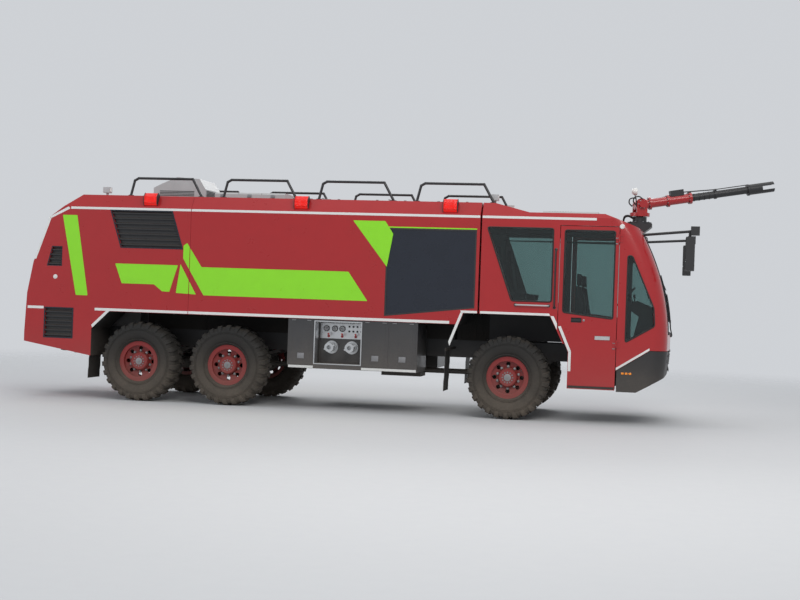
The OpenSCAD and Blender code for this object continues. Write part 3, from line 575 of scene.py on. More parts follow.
def sees_itself(tree, face, reach=3.2):
    """True when the face looks at another wall of its own shell, straight ahead or a little to one side."""
    start = face.center + face.normal * 0.002
    for lean in LEANS:
        if tree.ray_cast(start, (face.normal + Vector(lean)).normalized(), reach)[0] is not None:
            return True
    return False


def line_inside(name, skin):
    mesh = nodes[name].data
    tree = BVHTree.FromPolygons([v.co for v in mesh.vertices], [f.vertices for f in mesh.polygons])
    inside = {f.index for f in mesh.polygons if abs(f.center.y) < HALF_W - SIDE_PANEL and sees_itself(tree, f)}
    mesh.materials.append(skin)
    for index in inside:
        mesh.polygons[index].material_index = len(mesh.materials) - 1
    return len(inside)


print("cab lining", line_inside("cab_shell", LINING), "engine bay", line_inside("rear_body", UNDERCOAT_AND_SHADE))

# %% [markdown]
# The wheel arches and the underside are coated with thick black undercoat. A face there looks down, looks along the
# truck, or lies between the wheels, so its middle and its normal are enough to pick it. Among the faces that look
# along the truck are ends of red panels that lie in shade, and the black on them is painted shade. The recessed door
# pulls are found in the same way and turn to black plastic.

# %% Undercoat with painted shade, and door pulls
PULL_Z = 1.67


def paint_faces(name, skin, wanted):
    """Gives one more finish to the faces of a node that a test picks, by their middle and normal."""
    mesh = nodes[name].data
    mesh.materials.append(skin)
    count = 0
    for face in mesh.polygons:
        if wanted(face.center, face.normal):
            face.material_index = len(mesh.materials) - 1
            count += 1
    return count


# Faces that look along the truck take the black too: in the arches it is undercoat, on red panel ends that lie in
# shade it is painted shade.
def is_arch_and_shaded_end(c, n):
    return n.z < -0.15 or abs(n.x) > 0.8 or abs(c.y) < 0.7


def is_pull(c, n):
    return (abs(c.z - PULL_Z) < 0.042 and HALF_W - 0.03 < abs(c.y) < HALF_W - 0.002
            and FRONT_X + 0.99 < c.x < FRONT_X + 1.2)


ARCH_AND_SHADE_FACES = {
    "tank_body": lambda c, n: c.z < 1.8 and is_arch_and_shaded_end(c, n),
    "rear_body": lambda c, n: c.z < 1.7 and c.x > FRONT_X - 7.6 and is_arch_and_shaded_end(c, n),
    "cab_shell": lambda c, n: c.z < 1.9 and c.x < FRONT_X + 1.75 and is_arch_and_shaded_end(c, n),
}
for name, wanted in ARCH_AND_SHADE_FACES.items():
    print("undercoat on", name, paint_faces(name, UNDERCOAT_AND_SHADE, wanted))
for name in ("door_left", "door_right"):
    print("faces of the pull in", name, paint_faces(name, PLASTIC, is_pull))

# %% [markdown]
# ## Tyres
# A crash tender runs on wide single cross-country tyres. The tread is two staggered rows of chunky lugs that run
# over the shoulder, with ribs on the sidewall. The casing is a revolved profile and each lug is a tapered block
# bent round it, so the tread is real geometry. It replaces the plain CAD tyre and stays inside it.

# %% Tyre measures
TYRE_R = (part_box("tyre_front_left")[1].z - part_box("tyre_front_left")[0].z) / 2
TYRE_H = (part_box("tyre_front_left")[1].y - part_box("tyre_front_left")[0].y) / 2
RIM_R = 0.31
BEAD = 0.185
LUG_DEPTH = 0.028
LUGS = 26
CASING = [(-BEAD, RIM_R), (-BEAD - 0.004, RIM_R + 0.03), (-BEAD - 0.035, RIM_R + 0.05),
          (-TYRE_H + 0.018, RIM_R + 0.12), (-TYRE_H + 0.006, RIM_R + 0.17), (-TYRE_H + 0.004, RIM_R + 0.22),
          (-TYRE_H + 0.014, TYRE_R - 0.105), (-TYRE_H + 0.05, TYRE_R - 0.052), (-TYRE_H + 0.09, TYRE_R - 0.034),
          (-0.1, TYRE_R - LUG_DEPTH), (0.0, TYRE_R - LUG_DEPTH + 0.002)]
CASING += [(-along, radius) for along, radius in CASING[-2::-1]]
print("tyre radius", round(TYRE_R, 3), "half width", round(TYRE_H, 3))

# %% [markdown]
# A lug starts at the middle of the tread, leans, and runs over the shoulder. One block could be bent and copied
# round, but a strip of cross-sections that follow the casing gives the bend without any stretch.

# %% One lug
def on_tyre(centre, along, radius, turn):
    return Vector((centre.x + radius * math.cos(turn), centre.y + along, centre.z + radius * math.sin(turn)))


def add_lug(bm, centre, side, turn, rows):
    """One lug as a strip of cross-sections: each row is (distance from the middle, radius, turn, half angle)."""
    rings = []
    for along, radius, lead, half in rows:
        base = radius - LUG_DEPTH - 0.012
        angle = turn + lead
        rings.append([bm.verts.new(on_tyre(centre, side * along, r, angle + a))
                      for r, a in ((base, -half * 1.25), (radius, -half), (radius, half), (base, half * 1.25))])
    for a, b in zip(rings, rings[1:]):
        for k in range(4):
            bm.faces.new((a[k], a[(k + 1) % 4], b[(k + 1) % 4], b[k]))
    bm.faces.new(rings[0][::-1])
    bm.faces.new(rings[-1])


LUG_ROWS = [(0.012, TYRE_R - 0.001, 0.030, 0.036), (0.075, TYRE_R - 0.001, 0.012, 0.048),
            (0.15, TYRE_R - 0.003, -0.004, 0.052), (TYRE_H - 0.075, TYRE_R - 0.010, -0.012, 0.056),
            (TYRE_H - 0.034, TYRE_R - 0.034, -0.014, 0.054), (TYRE_H - 0.010, TYRE_R - 0.078, -0.014, 0.046)]
print("sections of a lug", len(LUG_ROWS))

# %% [markdown]
# A tyre is the revolved casing, a row of lugs on each side with one row half a step behind, and two moulded rings on
# each wall. It rides on the wheel's body, so it turns and steers with it.

# %% Build the tyres
LOW_RING, HIGH_RING = (RIM_R + 0.075, 0.022), (TYRE_R - 0.135, 0.003)


def build_tyre(place, side_name):
    node = f"tyre_{place}_{side_name}"
    centre = middle(node)
    bm = bmesh.new()
    add_revolve(bm, centre, (0, 1, 0), CASING + [(0.1, RIM_R), (-0.1, RIM_R)], 104, closed=True)
    for k in range(LUGS):
        turn = 2 * math.pi * k / LUGS
        add_lug(bm, centre, 1, turn, LUG_ROWS)
        add_lug(bm, centre, -1, turn + math.pi / LUGS, LUG_ROWS)
    for side in (-1, 1):
        for radius, sunk in (LOW_RING, HIGH_RING):
            add_revolve(bm, centre + Vector((0, side * (TYRE_H - sunk), 0)), (0, 1, 0),
                        [(-0.006, radius - 0.007), (side * 0.002, radius - 0.004), (side * 0.002, radius + 0.004),
                         (-0.006, radius + 0.007)], 72)
    piece = finish_piece(f"{node}_tread", bm, TYRE, f"wheel_{place}_{side_name}", smooth=True)
    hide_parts(node)
    return piece


WHEELS = [(place, side) for place in ("front", "middle", "rear") for side in SIDES]
for place, side_name in WHEELS:
    tyre = build_tyre(place, side_name)
print("faces on one tyre", len(tyre.data.polygons))

# %% [markdown]
# ## Wheel nuts and hub trim
# The rim comes from CAD with its hand holes. A driven hub of this kind carries a ring of wheel nuts on the disc,
# a ring of small bolts round the hub cap, an oil plug in its middle and a valve in one hand hole. They could be cut
# in CAD, but small revolved forms laid on the disc keep their edges and cost few faces.

# %% Wheel fittings
WHEEL_NUTS, NUT_CIRCLE = 10, 0.182
CAP_BOLTS, CAP_CIRCLE = 12, 0.086
CAP_FACE = 0.190


def build_wheel_fittings(place, side_name):
    centre = middle(f"rim_{place}_{side_name}")
    side = SIDES[side_name]
    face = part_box(f"rim_{place}_{side_name}")[1 if side > 0 else 0].y
    hub = Vector((centre.x, side * WHEEL_Y, centre.z))
    out = Vector((0, side, 0))
    bm = bmesh.new()
    for k in range(WHEEL_NUTS):
        turn = 2 * math.pi * (k + 0.5) / WHEEL_NUTS
        spoke = Vector((math.cos(turn), 0, math.sin(turn)))
        add_bolt(bm, hub + spoke * NUT_CIRCLE + out * 0.102, out, 0.017, 0.030)
    for k in range(CAP_BOLTS):
        turn = 2 * math.pi * k / CAP_BOLTS
        spoke = Vector((math.cos(turn), 0, math.sin(turn)))
        add_bolt(bm, hub + spoke * CAP_CIRCLE + out * CAP_FACE, out, 0.009, 0.008)
    add_revolve(bm, hub + out * CAP_FACE, out, [(0, 0.062), (0.008, 0.060), (0.010, 0.052), (0.010, 0)], 36)
    add_bolt(bm, hub + out * 0.199, out, 0.014, 0.008)
    add_rod(bm, hub + Vector((0.20, 0, 0.10)) + out * 0.10, hub + Vector((0.225, 0, 0.125)) + out * 0.17, 0.006)
    piece = finish_piece(f"wheel_nuts_{place}_{side_name}", bm, HUB, f"wheel_{place}_{side_name}", smooth=True)
    bm = bmesh.new()
    for radius, reach in ((RIM_R + 0.034, 0.204), (RIM_R - 0.026, 0.2)):
        add_revolve(bm, hub + out * (reach - 0.012), out, [(0, radius - 0.012), (0.010, radius - 0.010),
                                                            (0.012, radius), (0.008, radius + 0.004), (0, radius)], 64)
    rolled = finish_piece(f"rim_edge_{place}_{side_name}", bm, RIM, f"wheel_{place}_{side_name}", smooth=True)
    return abs(face) - (WHEEL_Y + CAP_FACE)


for place, side_name in WHEELS:
    reach = build_wheel_fittings(place, side_name)
print("rim face past the hub cap", round(reach, 3))

# %% [markdown]
# ## Reflective tape
# Silver tape follows the edges of the body, so that its outline shows at night: the roof line, the skirt, the wheel
# arches and the lower edge of the cab. It could be a mask in the paint, but a thin prism on the panel has the edge
# that catches the light. A strip stops where a panel ends, because tape is never laid across a door gap.

# %% Tape tables
FILM = 0.0016
FILM_GAP = 0.0002
SILL_INSET = 0.010
ROOF_TAPE = [(-7.70, -5.508), (-5.496, -0.525), (-0.485, 1.37)]
ROOF_TAPE_Z = (3.288, 3.328)
SKIRT_TAPE = [(-8.45, -8.15), (-7.20, -5.508), (-5.496, -0.98)]
SKIRT_TAPE_Z = (1.535, 1.580)
SILL_TAPE = [(-3.70, -3.27), (-2.44, -1.51)]
SILL_TAPE_Z = (0.705, 0.745)
# Each outline is a list of (station, height).
TAPE_SHAPES = [
    [(-7.745, 3.329), (-7.715, 3.292), (-8.062, 3.118), (-8.096, 3.142)],
    [(-8.098, 3.138), (-8.064, 3.114), (-8.320, 2.40), (-8.356, 2.40)],
    [(-7.235, 1.235), (-6.925, 1.535), (-6.99, 1.535), (-7.252, 1.285)],
    [(-0.965, 1.17), (-0.755, 1.725), (-0.80, 1.725), (-0.985, 1.24)],
    [(-0.476, 1.722), (0.672, 1.722), (0.655, 1.760), (-0.476, 1.760)],
    [(-0.79, 1.722), (-0.526, 1.722), (-0.526, 1.760), (-0.80, 1.760)],
    [(0.676, 1.720), (0.730, 1.720), (0.787, 1.605), (0.787, 1.500)],
    [(1.752, 0.885), (2.275, 1.223), (2.275, 1.262), (1.752, 0.925)],
]
DOOR_TAPE = [[(0.806, 1.556), (0.984, 1.150), (1.028, 1.160), (0.850, 1.566)],
             [(0.984, 1.148), (0.984, 0.840), (1.028, 0.840), (1.028, 1.158)]]


def side_outline(side, outline, depth=FILM_GAP):
    return [at(s, side * (HALF_W + depth), z) for s, z in outline]


def add_film(bm, side, outline, thickness=FILM, depth=FILM_GAP):
    add_prism(bm, side_outline(side, outline, depth), (0, side * thickness, 0))


def band(s0, s1, z0, z1):
    return [(s0, z0), (s1, z0), (s1, z1), (s0, z1)]


print("tape outlines", len(TAPE_SHAPES) + len(DOOR_TAPE))

# %% [markdown]
# The film lies a fifth of a millimetre off the panel, so that the two never share a plane. The strips on a door are a
# piece of their own, because they swing with it.

# %% Lay the tape
for name, side in SIDES.items():
    bm = bmesh.new()
    for s0, s1 in ROOF_TAPE:
        add_film(bm, side, band(s0, s1, *ROOF_TAPE_Z))
    for s0, s1 in SKIRT_TAPE:
        add_film(bm, side, band(s0, s1, *SKIRT_TAPE_Z))
    for outline in TAPE_SHAPES:
        add_film(bm, side, outline)
    for s0, s1 in SILL_TAPE:
        add_film(bm, side, band(s0, s1, *SILL_TAPE_Z), depth=FILM_GAP - SILL_INSET)
    finish_piece(f"edge_tape_{name}", bm, WHITE_TAPE)
    bm = bmesh.new()
    for outline in DOOR_TAPE:
        add_film(bm, side, outline)
    finish_piece(f"door_tape_{name}", bm, WHITE_TAPE, f"cab_door_{name}")
print("tape strips a side", len(ROOF_TAPE) + len(SKIRT_TAPE) + len(SILL_TAPE) + len(TAPE_SHAPES) + len(DOOR_TAPE))

# %% [markdown]
# ## Lime green markings
# The side carries a wide broken band in lime green film, a slanted flag under the roof line and a slanted bar at
# the tail. Film is cut flat and laid on the panel, so every shape is a thin prism with an eased outline. A shape
# that crosses the gap between the tank body and the tail is cut there, as a fitter cuts it.

# %% Green shapes
SEAM = (-5.508, -5.496)
GREEN = [
    [(-7.85, 3.18), (-7.58, 3.18), (-7.34, 1.79), (-7.56, 1.79)],
    [(-6.85, 2.36), (-5.71, 2.36), (-5.85, 1.90), (-5.98, 1.905), (-6.13, 2.02), (-6.72, 2.02)],
    [(-5.664, 2.385), (-5.732, 1.885), (-5.370, 1.870)],
    [(-5.62, 2.70), (-5.555, 2.745), (-5.285, 2.34), (-2.71, 2.34), (-2.37, 1.86), (-5.235, 1.86), (-5.62, 2.48)],
    [(-2.66, 3.20), (-2.11, 3.20), (-1.97, 2.99), (-2.06, 2.44)],
]
PANEL_LINE = [(-2.035, 3.092), (-0.57, 3.092), (-0.57, 3.112), (-2.048, 3.112)]


def clip(outline, station, ahead):
    """The part of an outline ahead of a station, or behind it."""
    def inside(p):
        return (p[0] >= station) == ahead

    made = []
    for a, b in zip(outline, outline[1:] + outline[:1]):
        if inside(a):
            made.append(a)
        if inside(a) != inside(b):
            t = (station - a[0]) / (b[0] - a[0])
            made.append((station, a[1] + (b[1] - a[1]) * t))
    return made


def rounded(outline, radius, steps=4):
    corners = round_corners([(s, 0, z) for s, z in outline], radius, steps)
    return [(p.x, p.z) for p in corners]


for name, side in SIDES.items():
    bm = bmesh.new()
    for outline in GREEN:
        for part in (clip(outline, SEAM[0], False), clip(outline, SEAM[1], True)):
            if len(part) > 2:
                add_film(bm, side, rounded(part, 0.015))
    add_film(bm, side, PANEL_LINE)
    finish_piece(f"green_film_{name}", bm, LIME_TAPE)
print("green shapes a side", len(GREEN) + 1)

# %% [markdown]
# ## The dark side panel
# Ahead of the green flag a recessed panel is covered with a nearly black film. A narrow black strip frames it, held
# by small screws. The strip is a prism along each side between two outlines, so it meets in mitred corners.

# %% Dark panel
PANEL = [(-2.08, 1.62), (-0.57, 1.80), (-0.57, 3.09), (-2.08, 3.09)]
PANEL_INSET = 0.0118
SCREW_ROWS = ((-2.06, 1.64, -0.59, 1.815), (-1.95, 3.075, -0.59, 3.075))
ROW_SCREWS = 9


def inset(outline, distance):
    """The same convex outline, moved inward by a distance."""
    count = len(outline)
    area = sum(outline[i][0] * outline[(i + 1) % count][1] - outline[(i + 1) % count][0] * outline[i][1]
               for i in range(count))
    sign = 1 if area > 0 else -1
    made = []
    for i in range(count):
        here = Vector(outline[i])
        a = (here - Vector(outline[i - 1])).normalized()
        b = (Vector(outline[(i + 1) % count]) - here).normalized()
        na, nb = Vector((-a.y, a.x)) * sign, Vector((-b.y, b.x)) * sign
        made.append(tuple(here + (na + nb) * (distance / (1 + na.dot(nb)))))
    return made


def add_frame(bm, side, outer, inner, depth, thickness):
    """A flat ring between two outlines with the same number of corners."""
    count = len(outer)
    for i in range(count):
        j = (i + 1) % count
        quad = [outer[i], outer[j], inner[j], inner[i]]
        add_prism(bm, side_outline(side, quad, depth), (0, side * thickness, 0))


for name, side in SIDES.items():
    bm = bmesh.new()
    add_film(bm, side, inset(PANEL, 0.004), depth=-PANEL_INSET, thickness=0.002)
    finish_piece(f"dark_panel_{name}", bm, DARK_PANEL)
    bm = bmesh.new()
    add_frame(bm, side, inset(PANEL, 0.002), inset(PANEL, 0.026), -0.0098, 0.009)
    for s0, z0, s1, z1 in SCREW_ROWS:
        for k in range(ROW_SCREWS):
            t = k / (ROW_SCREWS - 1)
            add_bolt(bm, at(s0 + (s1 - s0) * t, side * (HALF_W - 0.001), z0 + (z1 - z0) * t), (0, side, 0),
                     0.006, 0.004)
    piece = finish_piece(f"panel_frame_{name}", bm, CHASSIS)
print("panel corners", len(PANEL))

# %% [markdown]
# ## Finding the skin
# The cab front is curved in two directions, so a part that lies on it can't be placed by hand. A ray is shot at the
# CAD skin and gives the point and the normal where it lands. Gaskets, wipers and lamps on the cab all use it.

# %% Rays on the CAD skin
SKIN_TREES = {}


def skin_point(nodes_hit, origin, direction):
    """The first hit on any of the named nodes, as (point, normal)."""
    best = None
    for name in nodes_hit:
        if name not in SKIN_TREES:
            bm = bmesh.new()
            bm.from_mesh(nodes[name].data)
            SKIN_TREES[name] = BVHTree.FromBMesh(bm)
            bm.free()
        point, normal, _, distance = SKIN_TREES[name].ray_cast(Vector(origin), Vector(direction).normalized())
        if point is not None and (best is None or distance < best[2]):
            best = (point, normal, distance)
    return None if best is None else best[:2]


def densify(outline, step):
    """Adds points along a closed outline so that no piece of it is longer than step."""
    made = []
    for i, start in enumerate(outline):
        end = outline[(i + 1) % len(outline)]
        count = max(1, int(math.dist(start, end) / step))
        made += [tuple(a + (b - a) * k / count for a, b in zip(start, end)) for k in range(count)]
    return made


def on_side(side, station, z, nodes_hit=("cab_shell",), lift=0.0):
    hit = skin_point(nodes_hit, at(station, side * 4, z), (0, -side, 0))
    return None if hit is None else hit[0] + Vector((0, side * lift, 0))


def on_front(y, z, nodes_hit=("cab_shell", "cab_glazing"), lift=0.0):
    hit = skin_point(nodes_hit, (FRONT_X + 5, y, z), (-1, 0, 0))
    return None if hit is None else hit[0] + hit[1] * lift


print("nose at 1.3 m", [round(v, 3) for v in on_front(0.0, 1.3)])

# %% [markdown]
# ## Window rubbers
# Each pane sits in a black rubber profile that laps over the edge of the painted panel. The profile is a tube that
# follows the opening, a few millimetres outside it, on the skin that the rays find.

# %% Gaskets
CREW_WINDOW = [(0.04, 1.96), (0.67, 1.96), (0.67, 3.13), (-0.38, 3.13)]
DOOR_WINDOW = [(0.885, 1.80), (1.665, 1.72), (1.665, 3.11), (0.885, 3.11)]
QUARTER_WINDOW = [(1.90, 1.36), (2.33, 1.62), (2.31, 1.90), (1.95, 2.72), (1.90, 2.72)]
SCREEN = [(-1.18, 1.50), (1.18, 1.50), (1.14, 3.06), (-1.14, 3.06)]
GASKET = 0.012


def gasket_path(outline, place, radius=0.05):
    grown = inset(outline, -GASKET)
    dense = densify([(p.x, p.z) for p in round_corners([(a, 0, b) for a, b in grown], radius, 6)], 0.05)
    return [p for p in (place(a, b) for a, b in dense) if p is not None]


for name, side in SIDES.items():
    for label, outline, skin_node, body in (
            ("crew", CREW_WINDOW, "cab_shell", BODY), ("quarter", QUARTER_WINDOW, "cab_shell", BODY),
            ("door", DOOR_WINDOW, f"door_{name}", f"cab_door_{name}")):
        path = gasket_path(outline, lambda s, z: on_side(side, s, z, (skin_node,)), 0.04)
        tube(f"{label}_window_rubber_{name}", path, GASKET, SEAL, body, cyclic=True, resolution=2)
path = gasket_path(SCREEN, lambda y, z: on_front(y, z, ("cab_shell",)), 0.08)
tube("windscreen_rubber", path, GASKET * 1.1, SEAL, cyclic=True, resolution=2)
print("points on the windscreen rubber", len(path))

# %% [markdown]
# ## Wipers
# A windscreen of this height has two long wipers that park upright beside the middle. Each one has a pivot with a
# cap, a sprung arm, a hinge, and a blade with a rubber lip that lies on the glass. A straight arm would sink into
# the curved screen, so arm and blade follow points that rays find on it.

# %% Wipers
def build_wiper(name, y0, z0, y1, z1):
    foot = on_front(y0, z0)
    run = [on_front(y0 + (y1 - y0) * k / 8, z0 + (z1 - z0) * k / 8, lift=0.030) for k in range(9)]
    bm = bmesh.new()
    normal = (on_front(y0, z0, lift=1.0) - foot).normalized()
    add_revolve(bm, foot, normal, [(-0.01, 0), (-0.01, 0.032), (0.012, 0.030), (0.030, 0.022), (0.036, 0)], 20)
    for a, b in zip(run[:6], run[1:7]):
        add_rod(bm, a, b, 0.009, 8)
    add_box(bm, run[2] - Vector((0.012, 0.016, 0.03)), run[2] + Vector((0.012, 0.016, 0.03)), 0.004)
    blade = [on_front(y1 + (y1 - y0) * k * 0.02, z1 - 0.52 + k * 0.155, lift=0.013) for k in range(-1, 5)]
    for a, b in zip(blade, blade[1:]):
        add_rod(bm, a, b, 0.006, 6)
        add_rod(bm, a - normal * 0.006, b - normal * 0.006, 0.0035, 6)
    for k in (1, 2, 3, 4):
        add_rod(bm, blade[k] + normal * 0.002, run[6] + (blade[k] - run[6]) * 0.45 + normal * 0.012, 0.004, 6)
    return finish_piece(name, bm, RAIL, smooth=True)


wipers = [build_wiper("wiper_left", 0.52, 1.46, 0.40, 2.36), build_wiper("wiper_right", -0.40, 1.46, -0.52, 2.36)]
print("wipers", [w.name for w in wipers])

# %% [markdown]
# ## Doors and cab side
# The door has a recessed pull with a bar from CAD. A lock plate, a long grab rail behind the door, a rubber edge at
# the sill and hinge screws are added. Two pale strips sit where the photograph shows them: a rail under the crew
# window and a blank plate on the door. Each rail is a curve with a round section, the quickest way to bend a pipe.

# %% Door and cab trim
GRAB_S, GRAB_Z = 0.735, (1.86, 2.80)
CREW_RAIL_S, CREW_RAIL_Z = (0.10, 0.64), 1.885


for name, side in SIDES.items():
    skin = side * HALF_W
    bm = bmesh.new()
    add_box(bm, at(1.40, skin - side * 0.001, 1.365), at(1.64, skin + side * 0.006, 1.425), 0.004)
    for s in (1.415, 1.625):
        add_bolt(bm, at(s, skin + side * 0.005, 1.395), (0, side, 0), 0.006, 0.003)
    finish_piece(f"door_plate_{name}", bm, PALE, f"cab_door_{name}")
    bm = bmesh.new()
    for z in (1.21, 1.30, 2.90, 2.99):
        for s in (1.695, 1.715):
            add_bolt(bm, at(s, skin + side * 0.011, z + 0.02), (0, side, 0), 0.007, 0.004)
    add_revolve(bm, at(1.215, skin - side * 0.002, PULL_Z), (0, side, 0),
                [(0, 0.018), (0.004, 0.018), (0.006, 0.010), (0.004, 0.008), (0.004, 0)], 20)
    finish_piece(f"door_screws_{name}", bm, HUB, f"cab_door_{name}", smooth=True)
    bm = bmesh.new()
    add_box(bm, at(0.99, skin - side * 0.004, 0.575), at(1.73, skin + side * 0.006, 0.61), 0.003)
    finish_piece(f"door_sill_rubber_{name}", bm, SEAL, f"cab_door_{name}")
    sunk = skin - side * 0.004
    path = [at(GRAB_S, sunk, 1.86), at(GRAB_S, skin + side * 0.042, 1.88),
            at(GRAB_S, skin + side * 0.042, 2.78), at(GRAB_S, sunk, 2.80)]
    tube(f"grab_rail_{name}", round_corners(path, 0.05, 5, closed=False), 0.014, RAIL)
    path = [at(0.10, sunk, CREW_RAIL_Z), at(0.11, skin + side * 0.040, CREW_RAIL_Z),
            at(0.63, skin + side * 0.040, CREW_RAIL_Z), at(0.64, sunk, CREW_RAIL_Z)]
    tube(f"crew_rail_{name}", round_corners(path, 0.05, 5, closed=False), 0.013, PALE)
    bm = bmesh.new()
    for s, z in [(GRAB_S, z) for z in GRAB_Z] + [(s, CREW_RAIL_Z) for s in CREW_RAIL_S]:
        add_revolve(bm, at(s, skin, z), (0, side, 0), [(0, 0.026), (0.004, 0.026), (0.007, 0.018), (0.007, 0)], 18)
    finish_piece(f"rail_feet_{name}", bm, RAIL, smooth=True)
print("rails on each side", 2)

# %% [markdown]
# ## Mirrors
# The CAD arms carry the mirror heads. The glass faces rearward: a large flat pane above a smaller wide-angle one,
# with a rim round each and a ribbed back. The rims are short rods along a rounded outline, which leaves no gap at
# the corners.

# %% Mirror glasses
MIRROR_INNER, MIRROR_OUTER = HALF_W - 0.18, HALF_W + 0.06
MIRROR_X = FRONT_X + 2.79
MIRROR_PANES = ((2.70, 3.045), (2.535, 2.675))
for name, side in SIDES.items():
    bm = bmesh.new()
    panes = bmesh.new()
    for z0, z1 in MIRROR_PANES:
        y0, y1 = side * (MIRROR_INNER + 0.014), side * (MIRROR_OUTER - 0.014)
        add_box(panes, (MIRROR_X - 0.003, min(y0, y1), z0), (MIRROR_X + 0.002, max(y0, y1), z1), 0.002)
        corners = [(MIRROR_X, y0, z0), (MIRROR_X, y1, z0), (MIRROR_X, y1, z1), (MIRROR_X, y0, z1)]
        ring = round_corners(corners, 0.02, 4)
        for a, b in zip(ring, ring[1:] + ring[:1]):
            add_rod(bm, a, b, 0.006, 6)
    y0, y1 = span_y(side, MIRROR_INNER + 0.03, MIRROR_OUTER - 0.03)
    for k in range(6):
        z = 2.60 + k * 0.075
        add_box(bm, (MIRROR_X + 0.1385, y0, z), (MIRROR_X + 0.1425, y1, z + 0.012), 0.001)
    finish_piece(f"mirror_rim_{name}", bm, PLASTIC, smooth=True)
    finish_piece(f"mirror_glass_{name}", panes, MIRROR)
print("mirror panes", len(MIRROR_PANES) * len(SIDES))

# %% [markdown]
# ## Headlamps and bumper
# The CAD lamps are clear cylinders in bored holes. A bright bowl, a bulb, a domed lens and a dark ring turn each
# one into a headlamp. All are revolved forms, as a real bowl is spun from sheet. Clear glass alone would show black,
# because it has nothing bright behind it.

# %% Headlamps
BUMPER_NODES = ("front_bumper", "cab_shell")
LAMP_Z = 1.09
HEADLAMPS = (("main", 0.900, 0.084, 2.53), ("side", 1.130, 0.064, 2.505))
for name, side in SIDES.items():
    for label, y, radius, back in HEADLAMPS:
        rim = skin_point(("front_bumper",), (FRONT_X + 5, side * (y + radius * 1.15), LAMP_Z), (-1, 0, 0))[0].x
        base = FRONT_X + back
        depth = max(0.02, rim - base - 0.006)
        spot = Vector((base + 0.001, side * y, LAMP_Z))
        bowl = bmesh.new()
        add_revolve(bowl, spot, (1, 0, 0), [(0.0, 0.012), (depth * 0.25, radius * 0.55), (depth * 0.55, radius * 0.82),
                                            (depth, radius * 0.98), (depth, radius), (0.0, radius)], 36)
        add_revolve(bowl, spot, (1, 0, 0), [(0.0, 0.012), (0.014, 0.011), (0.020, 0.006), (0.021, 0)], 16)
        finish_piece(f"headlamp_bowl_{label}_{name}", bowl, CHROME, smooth=True)
        glass = bmesh.new()
        add_revolve(glass, spot + Vector((depth, 0, 0)), (1, 0, 0),
                    [(0, radius * 0.97), (0.004, radius * 0.93), (0.009, radius * 0.6), (0.011, 0)], 36)
        finish_piece(f"headlamp_lens_{label}_{name}", glass, LAMP_GLASS, smooth=True)
        ring = bmesh.new()
        add_revolve(ring, spot + Vector((depth - 0.004, 0, 0)), (1, 0, 0),
                    [(0, radius * 1.08), (0.010, radius * 1.06), (0.012, radius * 1.0), (0.008, radius * 0.94),
                     (0, radius * 0.96)], 36, closed=True)
        finish_piece(f"headlamp_ring_{label}_{name}", ring, PLASTIC, smooth=True)
print("headlamps", 4)

# %% [markdown]
# The bumper has a slotted air intake with two towing eyes below it, a rubber lip along its top edge and three amber
# repeaters on each corner. It curves in plan, so the slats and the lip are rods through points found on its skin.

# %% Bumper fittings
bm = bmesh.new()
for k in range(5):
    row = [on_front(-0.66 + j * 0.12, 1.00 + k * 0.036, BUMPER_NODES, 0.002) for j in range(12)]
    for a, b in zip(row, row[1:]):
        add_rod(bm, a, b, 0.008, 6)
for side in (1, -1):
    for y in (0.70, 0.36):
        eye = on_front(side * y, 0.90, BUMPER_NODES)
        add_revolve(bm, eye + Vector((0.004, 0, 0)), (1, 0, 0.25),
                    [(0, 0.0), (0, 0.034), (0.010, 0.034), (0.012, 0.028), (0.012, 0)], 24)
finish_piece("bumper_grille", bm, RAIL, smooth=True)
bm = bmesh.new()
row = [on_front(-1.05 + j * 0.15, 1.205, BUMPER_NODES, 0.004) for j in range(15)]
for a, b in zip(row, row[1:]):
    add_rod(bm, a, b, 0.010, 6)
finish_piece("bumper_lip", bm, SEAL, smooth=True)
REPEATER = Vector((0.021, 0.006, 0.016))
for name, side in SIDES.items():
    bm = bmesh.new()
    for s in (1.86, 1.92, 1.98):
        spot = on_side(side, s, 0.84, ("front_bumper",))
        if spot is not None:
            add_box(bm, spot - REPEATER, spot + REPEATER, 0.005)
    finish_piece(f"front_side_repeater_{name}", bm, AMBER_LENS)
print("bumper dressed")

# %% [markdown]
# ## Lamp colours
# The CAD lamps share one node, so its faces are coloured by where they are: clear at the nose, and red, amber and
# white side by side at the tail. A dark frame of plain bars runs round each tail group and between its lenses.

# %% Lamp faces and tail lamp frames
AMBER_Y, RED_Y = 1.05, 1.20
lamp_mesh = nodes["lamps"].data
lamp_mesh.materials.clear()
for skin in (LAMP_GLASS, RED_LENS, AMBER_LENS, WHITE_LENS):
    lamp_mesh.materials.append(skin)
for face in lamp_mesh.polygons:
    spot = face.center
    if spot.x > 0:
        face.material_index = 0
    else:
        face.material_index = 1 if abs(spot.y) > RED_Y else (2 if abs(spot.y) > AMBER_Y else 3)
TAIL_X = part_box("rear_body")[0].x
for name, side in SIDES.items():
    bm = bmesh.new()
    for near, far, z0, z1 in ((0.893, 0.908, 1.172, 1.428), (1.342, 1.357, 1.172, 1.428),
                              (0.893, 1.357, 1.172, 1.188), (0.893, 1.357, 1.412, 1.428)):
        y0, y1 = span_y(side, near, far)
        add_box(bm, (TAIL_X + 0.001, y0, z0), (TAIL_X + 0.03, y1, z1), 0.003)
    for y in (AMBER_Y, RED_Y):
        add_box(bm, (TAIL_X + 0.006, side * y - 0.009, 1.188), (TAIL_X + 0.03, side * y + 0.009, 1.412), 0.002)
    finish_piece(f"tail_lamp_frame_{name}", bm, PLASTIC)
print("tail at", round(TAIL_X, 3))

# %% [markdown]
# ## Beacons and roof lamps
# A red beacon sits on the chamfer above the roof tape in three places a side. The lens is CAD. It gets a black foot,
# end caps, pressed ribs, and the bright reflector that shows as a white spot in daylight. The caps reuse the section
# of the lens, a little larger, so that they always fit.

